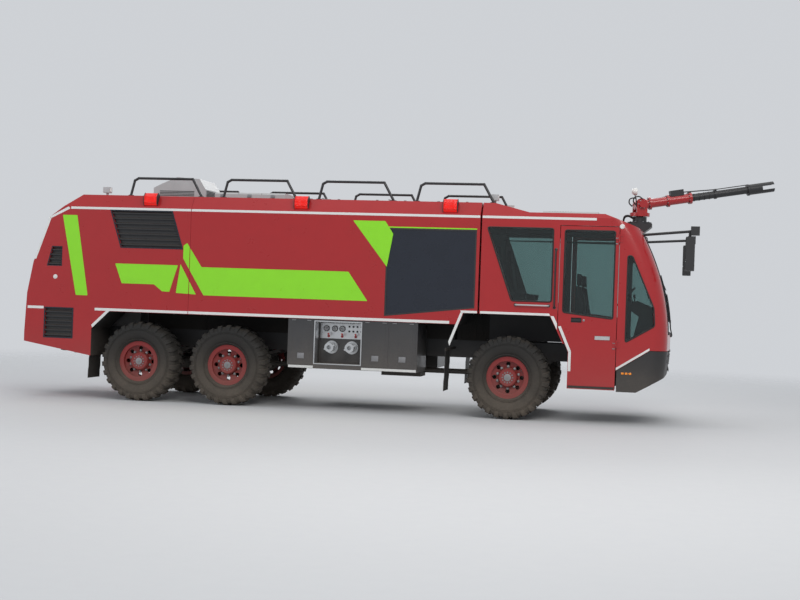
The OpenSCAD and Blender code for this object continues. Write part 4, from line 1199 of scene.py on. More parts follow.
# %% Beacon fittings
BEACONS = (-6.250, -3.570, -1.030)
CANT_Z = 3.330
BEACON_SHAPE = [(-0.070, 0.110), (-0.020, 0.050), (0.006, 0.090), (0.006, 0.200), (-0.060, 0.260), (-0.125, 0.215)]


def beacon_outline(side, station, grow):
    shape = inset(BEACON_SHAPE, -grow)
    return [at(station, side * (HALF_W + y), CANT_Z + z) for y, z in shape]


for name, side in SIDES.items():
    caps = bmesh.new()
    ribs = bmesh.new()
    glints = bmesh.new()
    for station in BEACONS:
        for end in (-0.124, 0.114):
            add_prism(caps, beacon_outline(side, station + end, 0.006), (0.010, 0, 0))
        y0, y1 = span_y(side, HALF_W - 0.09, HALF_W - 0.03)
        add_box(caps, at(station - 0.125, y0, CANT_Z + 0.075), at(station + 0.125, y1, CANT_Z + 0.10), 0.004)
        y0, y1 = span_y(side, HALF_W + 0.004, HALF_W + 0.010)
        for k in range(9):
            s = station - 0.098 + k * 0.0245
            add_box(ribs, at(s - 0.004, y0, CANT_Z + 0.097), at(s + 0.004, y1, CANT_Z + 0.193), 0.0015)
        add_revolve(glints, at(station, side * (HALF_W - 0.045), CANT_Z + 0.155), (0, side, 0.25),
                    [(0, 0), (0.004, 0.020), (0.018, 0.042), (0.022, 0.046), (0.016, 0.046), (0, 0.024)], 24)
    finish_piece(f"beacon_caps_{name}", caps, PLASTIC)
    finish_piece(f"beacon_ribs_{name}", ribs, RED_LENS)
    finish_piece(f"beacon_reflectors_{name}", glints, CHROME, smooth=True)
    bm = bmesh.new()
    for s, z in ((-7.95, 2.10), (1.78, 3.20)):
        spot, normal = skin_point(("cab_shell", "rear_body"), at(s, side * 4, z), (0, -side, 0))
        add_revolve(bm, spot - normal * 0.002, normal,
                    [(0, 0), (0, 0.040), (0.008, 0.039), (0.013, 0.030), (0.015, 0)], 24)
    finish_piece(f"side_marker_{name}", bm, WHITE_LENS, smooth=True)
print("beacons", len(BEACONS) * 2)

# %% [markdown]
# ## Louvres
# A pressed frame with screws runs round each slatted opening, standing a little proud of the panel. One outline
# grown outward and inward gives the frame, and the same outline in short steps gives the places of the screws.

# %% Louvre frames
LOUVRES = {
    "upper": [(-6.75, 2.65), (-5.65, 2.65), (-5.85, 3.27), (-6.95, 3.27)],
    "lower": [(-8.12, 1.05), (-7.61, 1.05), (-7.61, 1.55), (-8.12, 1.55)],
    "vent": [(-8.10, 2.30), (-7.85, 2.30), (-7.85, 2.62), (-8.02, 2.62)],
}
for name, side in SIDES.items():
    bm = bmesh.new()
    for label, outline in LOUVRES.items():
        grown = 0.012 if label == "vent" else 0.018
        add_frame(bm, side, inset(outline, -grown), inset(outline, 0.002), 0.0002, 0.004)
        for s, z in densify(inset(outline, -grown / 2), 0.14):
            add_bolt(bm, at(s, side * (HALF_W + 0.0035), z), (0, side, 0), 0.0045, 0.003)
    finish_piece(f"louvre_frames_{name}", bm, DARK_PANEL)
print("louvre frames", len(LOUVRES) * 2)

# %% [markdown]
# ## Lower lockers and hose bay
# The dark sill between the axles is a row of lockers. Each has a pressed door with a paddle lock and two hinges. A
# door is two thin plates, one on the other, because a raised middle reads as pressed sheet at this size.

# %% Locker doors
SILL_Y = HALF_W - SILL_INSET
LOCKERS = ((-3.690, -3.285), (-2.425, -1.995), (-1.965, -1.535))
for name, side in SIDES.items():
    bm = bmesh.new()
    locks = bmesh.new()
    for s0, s1 in LOCKERS:
        outline = rounded([(s0, 0.765), (s1, 0.765), (s1, 1.495), (s0, 1.495)], 0.03)
        add_prism(bm, [at(s, side * SILL_Y, z) for s, z in outline], (0, side * 0.005, 0))
        inner = rounded([(s0 + 0.05, 0.82), (s1 - 0.05, 0.82), (s1 - 0.05, 1.44), (s0 + 0.05, 1.44)], 0.02)
        add_prism(bm, [at(s, side * (SILL_Y + 0.0049), z) for s, z in inner], (0, side * 0.0025, 0))
        middle_s = (s0 + s1) / 2
        y0, y1 = span_y(side, SILL_Y + 0.0072, SILL_Y + 0.0095)
        add_box(locks, at(middle_s - 0.06, y0, 0.86), at(middle_s + 0.06, y1, 0.955), 0.006)
        y = side * (SILL_Y + 0.0085)
        add_rod(locks, at(middle_s - 0.035, y, 0.908), at(middle_s + 0.035, y, 0.908), 0.0035, 8)
        y = side * (SILL_Y + 0.006)
        for s in (s0 + 0.07, s1 - 0.07):
            add_rod(locks, at(s - 0.035, y, 1.502), at(s + 0.035, y, 1.502), 0.0065, 10)
    finish_piece(f"locker_doors_{name}", bm, SILL)
    finish_piece(f"locker_locks_{name}", locks, HUB, smooth=True)
print("locker doors", len(LOCKERS) * len(SIDES))

# %% [markdown]
# Between the lockers an open bay is lined with bright aluminium. Two flanged hose outlets come from CAD and get their
# ring of nuts and two lugs. The lining is thin sheet just off the CAD walls, so that it never shares a plane.

# %% Bay lining
BAY_S = (-3.250, -2.460)
BAY_Z = (0.790, 1.490)
BAY_BACK = HALF_W - 0.330
OUTLET_S, OUTLET_Z = (-3.030, -2.680), 1.060
OUTLET_NUTS = 8


def line_bay(name, side):
    bm = bmesh.new()
    y0, y1 = span_y(side, BAY_BACK + 0.0005, BAY_BACK + 0.004)
    add_box(bm, at(BAY_S[0] + 0.012, y0, 1.205), at(BAY_S[1] - 0.012, y1, BAY_Z[1] - 0.012), 0.001)
    for s in OUTLET_S:
        add_revolve(bm, at(s, side * (BAY_BACK + 0.021), OUTLET_Z), (0, side, 0),
                    [(0, 0.060), (0.0, 0.104), (0.004, 0.104), (0.004, 0.060)], 36)
        for k in range(OUTLET_NUTS):
            turn = 2 * math.pi * (k + 0.5) / OUTLET_NUTS
            add_bolt(bm, at(s + 0.085 * math.cos(turn), side * (BAY_BACK + 0.022), OUTLET_Z + 0.085 * math.sin(turn)),
                     (0, side, 0), 0.009, 0.009)
        for turn in (0.4, 0.4 + math.pi):
            lug = at(s + 0.083 * math.cos(turn), side * (HALF_W - 0.135), OUTLET_Z + 0.083 * math.sin(turn))
            add_box(bm, lug - Vector((0.014, 0.014, 0.014)), lug + Vector((0.014, 0.014, 0.014)), 0.004)
    y0, y1 = span_y(side, HALF_W - 0.200, HALF_W - 0.035)
    for s0 in (BAY_S[0] + 0.0005, BAY_S[1] - 0.0035):
        add_box(bm, at(s0, y0, BAY_Z[0] + 0.01), at(s0 + 0.003, y1, BAY_Z[1] - 0.01), 0.0008)
    finish_piece(f"bay_lining_{name}", bm, ALUMINIUM)


print("bay width", round(BAY_S[1] - BAY_S[0], 3))

# %% [markdown]
# Above the outlets the panel shows three gauges and two rows of knobs. A gauge is a dark revolved rim, a pale disc
# sunk in it and a needle. The dials stay blank, and every needle points another way.

# %% Gauges and knobs
GAUGE_S, KNOB_S, KNOB_Z = (-3.13, -2.985, -2.855), (-2.735, -2.665, -2.595, -2.525), (1.335, 1.415)


def build_gauges(name, side):
    gauges = bmesh.new()
    faces = bmesh.new()
    panel_y = side * (BAY_BACK + 0.004)
    for k, s in enumerate(GAUGE_S):
        spot = at(s, panel_y, 1.375)
        add_revolve(gauges, spot, (0, side, 0),
                    [(0, 0.052), (0.020, 0.052), (0.024, 0.049), (0.024, 0.044), (0.014, 0.043)], 32)
        add_revolve(faces, spot, (0, side, 0), [(0.0135, 0.044), (0.014, 0.0)], 32)
        needle = Vector((math.cos(0.8 + k), 0, math.sin(0.8 + k)))
        raised = spot + Vector((0, side * 0.017, 0))
        add_rod(gauges, raised - needle * 0.010, raised + needle * 0.036, 0.0022, 6)
    for s in KNOB_S:
        for z in KNOB_Z:
            add_revolve(gauges, at(s, panel_y, z), (0, side, 0),
                        [(0, 0.017), (0.008, 0.017), (0.010, 0.012), (0.020, 0.012), (0.022, 0.009), (0.022, 0)], 18)
    finish_piece(f"pump_gauges_{name}", gauges, RAIL, smooth=True)
    finish_piece(f"gauge_faces_{name}", faces, PALE)


print("gauges in a bay", len(GAUGE_S), "knobs", len(KNOB_S) * len(KNOB_Z))

# %% [markdown]
# Three valve levers with red grips stand out of the panel, a lamp strip hangs under the top edge, and a bright frame
# finishes the opening. All stay inside the side plane, so that nothing sticks out past the lockers.

# %% Levers, lamp and frame of the bay
def build_levers(name, side):
    levers = bmesh.new()
    for s in (-3.09, -2.855, -2.62):
        foot = at(s, side * (BAY_BACK + 0.004), 1.245)
        grip = foot + Vector((0.02, side * 0.10, 0.035))
        add_revolve(levers, foot, (0, side, 0), [(0, 0.024), (0.012, 0.022), (0.016, 0)], 18)
        add_rod(levers, foot, grip, 0.007, 10)
        add_revolve(levers, grip, (0.1, side, 0.3),
                    [(-0.004, 0), (0, 0.013), (0.012, 0.018), (0.026, 0.016), (0.034, 0)], 16)
    finish_piece(f"pump_levers_{name}", levers, RED, smooth=True)


def frame_bay(name, side):
    strip = bmesh.new()
    y0, y1 = span_y(side, HALF_W - 0.075, HALF_W - 0.035)
    add_box(strip, at(BAY_S[0] + 0.06, y0, BAY_Z[1] - 0.022), at(BAY_S[1] - 0.06, y1, BAY_Z[1] - 0.002), 0.004)
    finish_piece(f"bay_lamp_{name}", strip, LAMP_GLASS)
    edge = bmesh.new()
    opening = band(*BAY_S, *BAY_Z)
    add_frame(edge, side, inset(opening, -0.016), inset(opening, 0.001), FILM_GAP - SILL_INSET, 0.008)
    finish_piece(f"bay_frame_{name}", edge, ALUMINIUM)


for name, side in SIDES.items():
    line_bay(name, side)
    build_gauges(name, side)
    build_levers(name, side)
    frame_bay(name, side)
print("outlet bays", len(SIDES))

# %% [markdown]
# ## Roof
# The deck carries walkways with a gritty surface, and each hoop stands on two feet with four bolts. A walkway is one
# thin plate after another, because its grit is a bump in the finish and only its edge needs a form.

# %% Walkways and hoop feet
DECK_Z = 3.550
HOOPS = [-6.700 + 1.690 * k for k in range(4)]
HOOP_SPAN = 1.280
GRIT = finish("walkway_grit", (0.045, 0.046, 0.05), 0.85, dust=0.0, ledges=0.5, grain=420, depth=0.0015, scuffs=0.3)
bm = bmesh.new()
bolts = bmesh.new()
for side in (1, -1):
    for start in HOOPS:
        for s in (start, start + HOOP_SPAN):
            for k in range(4):
                turn = math.pi * (k + 0.5) / 2
                add_bolt(bolts, at(s + 0.036 * math.cos(turn), side * (HALF_W - 0.240) + 0.036 * math.sin(turn),
                                   DECK_Z + 0.014), (0, 0, 1), 0.007, 0.006)
    y0, y1 = span_y(side, 0.62, 1.12)
    for k in range(8):
        s = -7.05 + k * 0.80
        add_box(bm, at(s, y0, DECK_Z + 0.0002), at(s + 0.70, y1, DECK_Z + 0.003), 0.001)
finish_piece("deck_walkways", bm, GRIT)
print("hoop feet", len(HOOPS) * 4)

# %% [markdown]
# Each round lid is held by six swing clamps and has a grip, and the long box has latches on both sides. All are small
# rods and blocks in the same bare steel as the hoop bolts, so they share one piece.

# %% Lid clamps, grips and latches
LIDS, CLAMPS, CLAMP_CIRCLE = (-3.500, -2.300, -1.200), 6, 0.290
for s in LIDS:
    for k in range(CLAMPS):
        turn = 2 * math.pi * (k + 0.5) / CLAMPS
        spot = at(s + CLAMP_CIRCLE * math.cos(turn), CLAMP_CIRCLE * math.sin(turn), DECK_Z + 0.075)
        add_rod(bolts, spot, spot + Vector((0, 0, 0.022)), 0.008, 10)
        add_rod(bolts, spot + Vector((-0.022, 0, 0.024)), spot + Vector((0.022, 0, 0.024)), 0.006, 8)
    grip = [at(s - 0.07, 0.0, DECK_Z + 0.074), at(s - 0.07, 0.0, DECK_Z + 0.105), at(s + 0.07, 0.0, DECK_Z + 0.105),
            at(s + 0.07, 0.0, DECK_Z + 0.074)]
    for a, b in zip(grip, grip[1:]):
        add_rod(bolts, a, b, 0.007, 8)
for s in (-5.30, -4.80, -4.37):
    for side in (1, -1):
        y0, y1 = span_y(side, 0.478, 0.490)
        add_box(bolts, at(s - 0.04, y0, DECK_Z + 0.07), at(s + 0.04, y1, DECK_Z + 0.13), 0.004)
finish_piece("roof_hardware", bolts, HUB, smooth=True)
print("lid clamps", len(LIDS) * CLAMPS)

# %% [markdown]
# Slats close the intake cowl and the vents of the air conditioning unit, and a guard of rings and spokes covers its
# fan. They are real bars, because the light that falls between them is what shows a grille from above.

# %% Roof grilles, fan guard and lamp lenses
slats = bmesh.new()
for k in range(7):
    z = DECK_Z + 0.03 + k * 0.024
    add_box(slats, at(-5.642, -0.36, z), at(-5.632, 0.36, z + 0.012), 0.002)
for k in range(6):
    z = DECK_Z + 0.03 + k * 0.026
    for y in (-0.424, 0.418):
        add_box(slats, at(-6.50, y, z), at(-5.85, y + 0.006, z + 0.013), 0.002)
for k in range(9):
    s = 0.50 + k * 0.045
    add_box(slats, at(s, -0.34, 3.4995), at(s + 0.022, 0.34, 3.506), 0.002)
for k in range(3):
    for s in (0.396, 1.334):
        add_box(slats, at(s, -0.36, 3.42 + k * 0.02), at(s + 0.010, 0.36, 3.43 + k * 0.02), 0.002)
finish_piece("roof_grilles", slats, PLASTIC)
fan = bmesh.new()
FAN_S, FAN_Z = 1.10, 3.504
for radius in (0.06, 0.10, 0.14, 0.18):
    add_revolve(fan, at(FAN_S, 0, 3.499), (0, 0, 1),
                [(0, radius - 0.004), (0.010, radius - 0.003), (0.010, radius + 0.003), (0, radius + 0.004)], 40)
for k in range(8):
    spoke = Vector((math.cos(math.pi * k / 4), math.sin(math.pi * k / 4), 0))
    add_rod(fan, at(FAN_S, 0, FAN_Z) + 0.03 * spoke, at(FAN_S, 0, FAN_Z) + 0.185 * spoke, 0.004, 6)
finish_piece("roof_fan_guard", fan, RAIL, smooth=True)
lights = bmesh.new()
for s in (-7.180, -0.330):
    for side in (1, -1):
        for way in (1, -1):
            add_revolve(lights, at(s + way * 0.0595, side * (HALF_W - 0.330), DECK_Z + 0.10), (way, 0, 0),
                        [(0, 0.040), (0.006, 0.038), (0.008, 0)], 24)
finish_piece("roof_lamp_lenses", lights, WHITE_LENS, smooth=True)
print("fan at station", FAN_S)

# %% [markdown]
# ## Roof monitor
# The monitor turns on its base and tips on two trunnions, and rests aimed up and to one side. So its added parts are
# placed in the turret's own frame or in the barrel's, found from the joints and from the tip of the CAD barrel.

# %% Monitor frames
JOINTS = {joint["name"]: joint for joint in frame["joints"]}
PIVOT = Vector(JOINTS["monitor_pitch"]["pos_m"])
tip_verts = [Vector(v.co) for v in nodes["monitor_barrel"].data.vertices]
TRUNNION = Vector(JOINTS["monitor_pitch"]["axis"]).normalized()
reach_vert = max(tip_verts, key=lambda v: (v - PIVOT).length)
ALONG = reach_vert - PIVOT
ends = [v for v in tip_verts if (v - PIVOT).length > ALONG.length - 0.02]
ALONG = sum(ends, Vector()) / len(ends) - PIVOT
ALONG = (ALONG - TRUNNION * ALONG.dot(TRUNNION)).normalized()
ACROSS = TRUNNION if TRUNNION.y > 0 else -TRUNNION
ABOVE = ALONG.cross(ACROSS)
AHEAD = Vector((ALONG.x, ALONG.y, 0)).normalized()


def on_turret(x, y, z):
    return PIVOT + AHEAD * x + ACROSS * y + Vector((0, 0, z))


def on_barrel(x, y, z):
    return PIVOT + ALONG * x + ACROSS * y + ABOVE * z


print("barrel points up by", round(math.degrees(math.asin(ALONG.z)), 1), "and left by",
      round(math.degrees(math.atan2(ALONG.y, ALONG.x)), 1))

# %% [markdown]
# The barrel is red up to its collar and black ahead of it. Bolts ring the flange of the base and the turret floor,
# and cover both trunnion caps, so that the joints look as if they could be taken apart.

# %% Barrel paint and head bolts
barrel_mesh = nodes["monitor_barrel"].data
barrel_mesh.materials.clear()
barrel_mesh.materials.append(RAIL)
barrel_mesh.materials.append(RED)
for face in barrel_mesh.polygons:
    local = Vector(face.center) - PIVOT
    on_top = local.dot(ABOVE) > 0.085 and local.dot(ALONG) > 0.53
    face.material_index = 1 if local.dot(ALONG) < 0.895 and not on_top else 0
bm = bmesh.new()
base_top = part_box("monitor_base")[1].z - 0.158
for k in range(8):
    turn = math.radians(22.5 + 45 * k)
    add_bolt(bm, Vector((PIVOT.x, PIVOT.y, base_top)) + Vector((math.cos(turn), math.sin(turn), 0)) * 0.165,
             (0, 0, 1), 0.012, 0.012)
finish_piece("monitor_flange_bolts", bm, HUB, smooth=True)
floor_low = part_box("monitor_head")[0].z
bm = bmesh.new()
lift = floor_low - PIVOT.z
for k in range(12):
    turn = 2 * math.pi * (k + 0.5) / 12
    add_bolt(bm, on_turret(0.148 * math.cos(turn), 0.148 * math.sin(turn), lift + 0.060), (0, 0, 1), 0.008, 0.007)
for y in (-0.1655, 0.1655):
    for k in range(6):
        turn = 2 * math.pi * k / 6
        add_bolt(bm, on_turret(0.066 * math.cos(turn), y, 0.066 * math.sin(turn)), ACROSS * math.copysign(1, y),
                 0.008, 0.006)
finish_piece("monitor_head_bolts", bm, HUB, "monitor_turret", smooth=True)
print("flange top", round(base_top, 3), "turret floor", round(floor_low, 3))

# %% [markdown]
# Two short hoses rise from the bracket into the base, and one loops over each side of the turret. Each is a curve
# with a round section and has both ends on one body, so that no motion can stretch or tear it.

# %% Monitor hoses
for y, bend in ((-0.10, -0.05), (0.10, 0.05)):
    start = Vector((PIVOT.x - 0.27, y, base_top - 0.004))
    path = [start, start + Vector((0, 0, 0.05)), start + Vector((0.02, bend * 0.4, 0.10)),
            start + Vector((0.08, bend * 0.2, 0.115)), Vector((PIVOT.x - 0.125, y * 0.9, base_top + 0.075)),
            Vector((PIVOT.x - 0.105, y * 0.8, base_top + 0.06))]
    tube(f"monitor_supply_{'right' if y < 0 else 'left'}", round_corners(path, 0.03, 4, closed=False), 0.013, SEAL)
for side in (-1, 1):
    path = [on_turret(x, side * y, z) for x, y, z in (
        (-0.10, 0.150, -0.02), (-0.16, 0.15, 0.03), (-0.15, 0.16, 0.11), (-0.06, 0.165, 0.135), (0.0, 0.17, 0.088))]
    tube(f"monitor_hose_{'right' if side < 0 else 'left'}", round_corners(path, 0.05, 5, closed=False), 0.011, SEAL,
         "monitor_turret")
print("monitor hoses", 4)

# %% [markdown]
# A white work lamp on a bent stem looks along the barrel and turns with the turret. Flange bolts, clamp rings and a
# control rod run along the barrel, and a collar with a ring of studs closes its tip. All of these tip with it.

# %% Work lamp, linkage and tip collar
bm = bmesh.new()
lens_bm = bmesh.new()
lamp = on_turret(-0.115, -0.085, 0.215)
add_revolve(bm, lamp, AHEAD,
            [(-0.055, 0), (-0.053, 0.030), (-0.035, 0.052), (0.020, 0.062), (0.028, 0.064), (0.028, 0.056)], 32)
add_revolve(lens_bm, lamp + AHEAD * 0.024, AHEAD, [(0, 0.057), (0.006, 0.050), (0.010, 0)], 32)
finish_piece("monitor_work_lamp", bm, WHITE_PAINT, "monitor_turret", smooth=True)
finish_piece("monitor_work_lens", lens_bm, WHITE_LENS, "monitor_turret", smooth=True)
bm = bmesh.new()
add_rod(bm, on_turret(-0.115, -0.085, 0.155), on_turret(-0.10, -0.14, 0.05), 0.009)
add_rod(bm, on_turret(-0.10, -0.14, 0.052), on_turret(-0.085, -0.146, -0.06), 0.011)
finish_piece("monitor_lamp_stem", bm, RAIL, "monitor_turret", smooth=True)
bm = bmesh.new()
for x, radius in ((0.150, 0.092), (0.470, 0.090), (0.852, 0.090)):
    for k in range(8):
        turn = 2 * math.pi * (k + 0.5) / 8
        spot = on_barrel(x, radius * math.cos(turn), radius * math.sin(turn))
        add_bolt(bm, spot, -ALONG, 0.010, 0.012)
finish_piece("barrel_flange_bolts", bm, HUB, "monitor_tube", smooth=True)
bm = bmesh.new()
for x in (0.93, 1.02, 1.11, 1.20):
    add_revolve(bm, on_barrel(x, 0, 0), ALONG, [(0, 0.0615), (0.004, 0.067), (0.020, 0.067), (0.024, 0.0615)], 32)
add_rod(bm, on_barrel(0.77, -0.03, 0.115), on_barrel(1.30, -0.03, 0.085), 0.010, 10)
add_rod(bm, on_barrel(1.30, -0.03, 0.085), on_barrel(1.88, -0.03, 0.088), 0.008, 10)
hinge = on_barrel(1.305, -0.052, 0.066)
add_box(bm, hinge, hinge + Vector((0.034, 0.044, 0.034)), 0.004)
add_rod(bm, on_barrel(0.60, 0.056, 0.09), on_barrel(0.16, 0.085, 0.055), 0.009, 10)
finish_piece("barrel_linkage", bm, RAIL, "monitor_tube", smooth=True)
bm = bmesh.new()
add_revolve(bm, on_barrel(1.884, 0, 0), ALONG,
            [(0, 0.063), (0, 0.088), (0.012, 0.096), (0.030, 0.096), (0.038, 0.0905)], 36)
for k in range(16):
    turn = 2 * math.pi * k / 16
    spoke = ACROSS * math.cos(turn) + ABOVE * math.sin(turn)
    add_rod(bm, on_barrel(1.886, 0, 0) + spoke * 0.094, on_barrel(1.922, 0, 0) + spoke * 0.094, 0.005, 6)
finish_piece("barrel_tip_collar", bm, RAIL, "monitor_tube", smooth=True)
print("monitor parts ride on", "monitor_turret and monitor_tube")

# %% [markdown]
# ## Chassis
# Between the wheels one sees the U-bolts that clamp each spring to its axle, spring clips, brake chambers and shaft
# flanges. The leaves are one block in CAD, so thin strips on its flanks mark their edges, which is lighter than a
# stack of single leaves.

# %% Springs and axles
RAIL_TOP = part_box("frame_rails")[1].z
SPRING_Y = 0.405
SPRING_Z = HUB_Z + 0.105
clamps = bmesh.new()
leaves = bmesh.new()
for centre_x in (FRONT_X, MID_X, REAR_X):
    for side in (1, -1):
        for dx in (-0.070, 0.070):
            for dy in (-0.043, 0.043):
                top = Vector((centre_x + dx, side * SPRING_Y + dy, SPRING_Z + 0.086))
                add_rod(clamps, top, top - Vector((0, 0, 0.215)), 0.0075, 8)
                add_bolt(clamps, top - Vector((0, 0, 0.205)), (0, 0, -1), 0.013, 0.014)
            add_rod(clamps, (centre_x + dx, side * SPRING_Y - 0.043, SPRING_Z + 0.086),
                    (centre_x + dx, side * SPRING_Y + 0.043, SPRING_Z + 0.086), 0.0075, 8)
        for dx in (-0.30, 0.30):
            spot = Vector((centre_x + dx, side * SPRING_Y, SPRING_Z + 0.052))
            add_box(clamps, spot - Vector((0.018, 0.039, 0.036)), spot + Vector((0.018, 0.039, 0.036)), 0.003)
        for k in range(5):
            z = SPRING_Z + 0.010 + k * 0.013
            reach = 0.088 + k * 0.0002
            for y in (-0.0362, 0.0345):
                add_box(leaves, (centre_x - reach, side * SPRING_Y + y, z),
                        (centre_x + reach, side * SPRING_Y + y + 0.0017, z + 0.009), 0.0005)
finish_piece("spring_clamps", clamps, CHASSIS, smooth=True)
finish_piece("spring_leaf_edges", leaves, SPRING)
brakes = bmesh.new()
for centre_x in (MID_X, REAR_X):
    for side in (1, -1):
        spot = Vector((centre_x + 0.17, side * 0.70, HUB_Z + 0.14))
        add_revolve(brakes, spot, (0, -side, 0.15),
                    [(-0.02, 0), (-0.015, 0.050), (0.02, 0.066), (0.045, 0.066), (0.050, 0.072), (0.060, 0.072),
                     (0.065, 0.066), (0.13, 0.060), (0.145, 0.030), (0.150, 0)], 24)
        add_rod(brakes, spot + Vector((-0.03, side * 0.02, -0.02)), spot + Vector((-0.13, side * 0.13, -0.08)),
                0.010, 10)
FLANGE = 0.2905
for x0, sign in ((FRONT_X - FLANGE, -1), (MID_X + FLANGE, 1), (MID_X - FLANGE, -1), (REAR_X + FLANGE, 1)):
    add_revolve(brakes, (x0, 0, HUB_Z), (sign, 0, 0),
                [(0.0, 0.046), (0.0, 0.078), (0.018, 0.078), (0.020, 0.060), (0.05, 0.055), (0.055, 0.046)], 24)
    for k in range(8):
        turn = 2 * math.pi * k / 8
        add_bolt(brakes, (x0 + sign * 0.018, 0.066 * math.cos(turn), HUB_Z + 0.066 * math.sin(turn)), (sign, 0, 0),
                 0.007, 0.008)
finish_piece("brakes_and_flanges", brakes, CHASSIS, smooth=True)
print("spring clamps", 6)

# %% [markdown]
# A ribbed splash panel closes the gap ahead of the tank, and thick rubber flaps hang behind the front and the rear
# wheels. A flap could be a cloth simulation, but a grid of points with a slight sag keeps the file quick.

# %% Splash panels and flaps
GAP_S = (-0.985, -0.488)
FLAP_ROWS, FLAP_Y = 9, (0.98, 1.47)
FLAPS = ((-1.035, 0.42, 1.12), (-7.285, 0.36, 0.96))
panels = bmesh.new()
flaps = bmesh.new()
for side in (1, -1):
    y0, y1 = span_y(side, 0.500, 0.506)
    add_box(panels, at(GAP_S[0], y0, RAIL_TOP + 0.002), at(GAP_S[1], y1, 1.716), 0.002)
    y0, y1 = span_y(side, 0.5055, 0.512)
    for k in range(4):
        s = -0.93 + k * 0.125
        add_box(panels, at(s, y0, RAIL_TOP + 0.03), at(s + 0.022, y1, 1.69), 0.003)
    y0, y1 = span_y(side, 0.45, 0.506)
    add_box(panels, at(GAP_S[0], y0, RAIL_TOP + 0.0005), at(GAP_S[1], y1, RAIL_TOP + 0.004), 0.001)
    for s, z0, z1 in FLAPS:
        grid = []
        for r in range(FLAP_ROWS + 1):
            z = z1 + (z0 - z1) * r / FLAP_ROWS
            bend = 0.018 * (r / FLAP_ROWS) ** 2 + 0.003 * math.sin(r * 2.1 + s)
            grid.append([[flaps.verts.new(at(s - bend + d, side * y, z)) for y in FLAP_Y] for d in (0, 0.008)])
        for (a, b), (c, d) in zip(grid, grid[1:]):
            for quad in ((a[0], a[1], c[1], c[0]), (b[0], d[0], d[1], b[1]), (a[0], c[0], d[0], b[0]),
                         (a[1], b[1], d[1], c[1])):
                flaps.faces.new(quad)
        (a, b), (c, d) = grid[0], grid[-1]
        flaps.faces.new((a[0], b[0], b[1], a[1]))
        flaps.faces.new((c[0], c[1], d[1], d[0]))
        y0, y1 = span_y(side, FLAP_Y[0] - 0.01, FLAP_Y[1] + 0.005)
        add_box(panels, at(s - 0.010, y0, z1 - 0.04), at(s + 0.018, y1, z1 + 0.012), 0.003)
        if s > -2:
            y0, y1 = span_y(side, 0.45, 0.99)
            add_box(panels, at(s - 0.012, y0, z1 - 0.03), at(s + 0.014, y1, z1 + 0.010), 0.003)
finish_piece("splash_panels", panels, UNDERCOAT_AND_SHADE)
finish_piece("mud_flaps", flaps, SEAL, smooth=True)
print("flaps", len(FLAPS) * 2)

# %% [markdown]
# ## Tail
# Silver tape runs along the edges of the tail, and a blank number plate sits in a dark holder below the hatch.
# The tail is sloped, so every part is set on the skin by a ray and takes its normal from there.

# %% Tail tape and number plate
def on_tail(y, z, nodes_hit=("rear_body", "rear_hatch")):
    return skin_point(nodes_hit, (TAIL_X - 4, y, z), (1, 0, 0))


def tail_strip(bm, y0, z0, y1, z1, width, lift=0.0016, nodes_hit=("rear_body",)):
    """A flat strip from one point of the tail skin to another."""
    a, b = on_tail(y0, z0, nodes_hit), on_tail(y1, z1, nodes_hit)
    run = (b[0] - a[0]).normalized()
    normal = (a[1] + b[1]).normalized()
    across = run.cross(normal).normalized() * width / 2
    add_prism(bm, [p + normal * 0.0002 for p in (a[0] - across, a[0] + across, b[0] + across, b[0] - across)],
              normal * lift)


bm = bmesh.new()
for side in (1, -1):
    tail_strip(bm, side * 1.47, 2.30, side * 1.47, 1.86, 0.045)
    tail_strip(bm, side * 1.47, 1.77, side * 1.47, 1.47, 0.045)
    tail_strip(bm, side * 1.44, 1.03, side * 0.40, 1.03, 0.045)
    tail_strip(bm, side * 1.44, 2.42, side * 1.44, 3.08, 0.045)
finish_piece("tail_tape", bm, WHITE_TAPE)
plate = bmesh.new()
holder = bmesh.new()
spot, normal = on_tail(0.0, 1.33)
up = Vector((0, 1, 0)).cross(normal).normalized()
up = up if up.z > 0 else -up
for sheet, half_y, half_z, base, thick in ((holder, 0.275, 0.075, 0.0005, 0.004), (plate, 0.26, 0.060, 0.0043, 0.001)):
    outline = rounded(band(-half_y, half_y, -half_z, half_z), 0.012, 3)
    add_prism(sheet, [spot + normal * base + Vector((0, a, 0)) + up * b for a, b in outline], normal * thick)
finish_piece("plate_holder", holder, PLASTIC)
finish_piece("blank_plate", plate, PALE)
print("plate height", round(spot.z, 3))

# %% [markdown]
# Two turned latches and a rubber lip belong to the hatch and swing up with it. Round red reflectors sit below the
# lamps, and two washers close the towing jaw. A reflector stays thin, so that the truck grows by only 5 mm.

# %% Hatch latches, reflectors and jaw washers
hardware = bmesh.new()
for y in (-0.56, 0.56):
    spot, normal = on_tail(y, 1.58, ("rear_hatch",))
    add_revolve(hardware, spot, normal, [(0, 0.040), (0.006, 0.038), (0.009, 0.028), (0.004, 0.024), (0.004, 0)], 28)
    raised = spot + normal * 0.006
    add_rod(hardware, raised - Vector((0, 0.022, 0)), raised + Vector((0, 0.022, 0)), 0.005, 8)
finish_piece("hatch_latches", hardware, HUB, "engine_hatch", smooth=True)
lip = bmesh.new()
tail_strip(lip, -0.66, 1.53, 0.66, 1.53, 0.020, 0.004, ("rear_hatch",))
finish_piece("hatch_lip", lip, SEAL, "engine_hatch")
reflectors = bmesh.new()
for side in (1, -1):
    spot, normal = on_tail(side * 1.125, 1.115, ("rear_body",))
    add_revolve(reflectors, spot, normal, [(0, 0.040), (0.003, 0.040), (0.0045, 0.036), (0.005, 0)], 28)
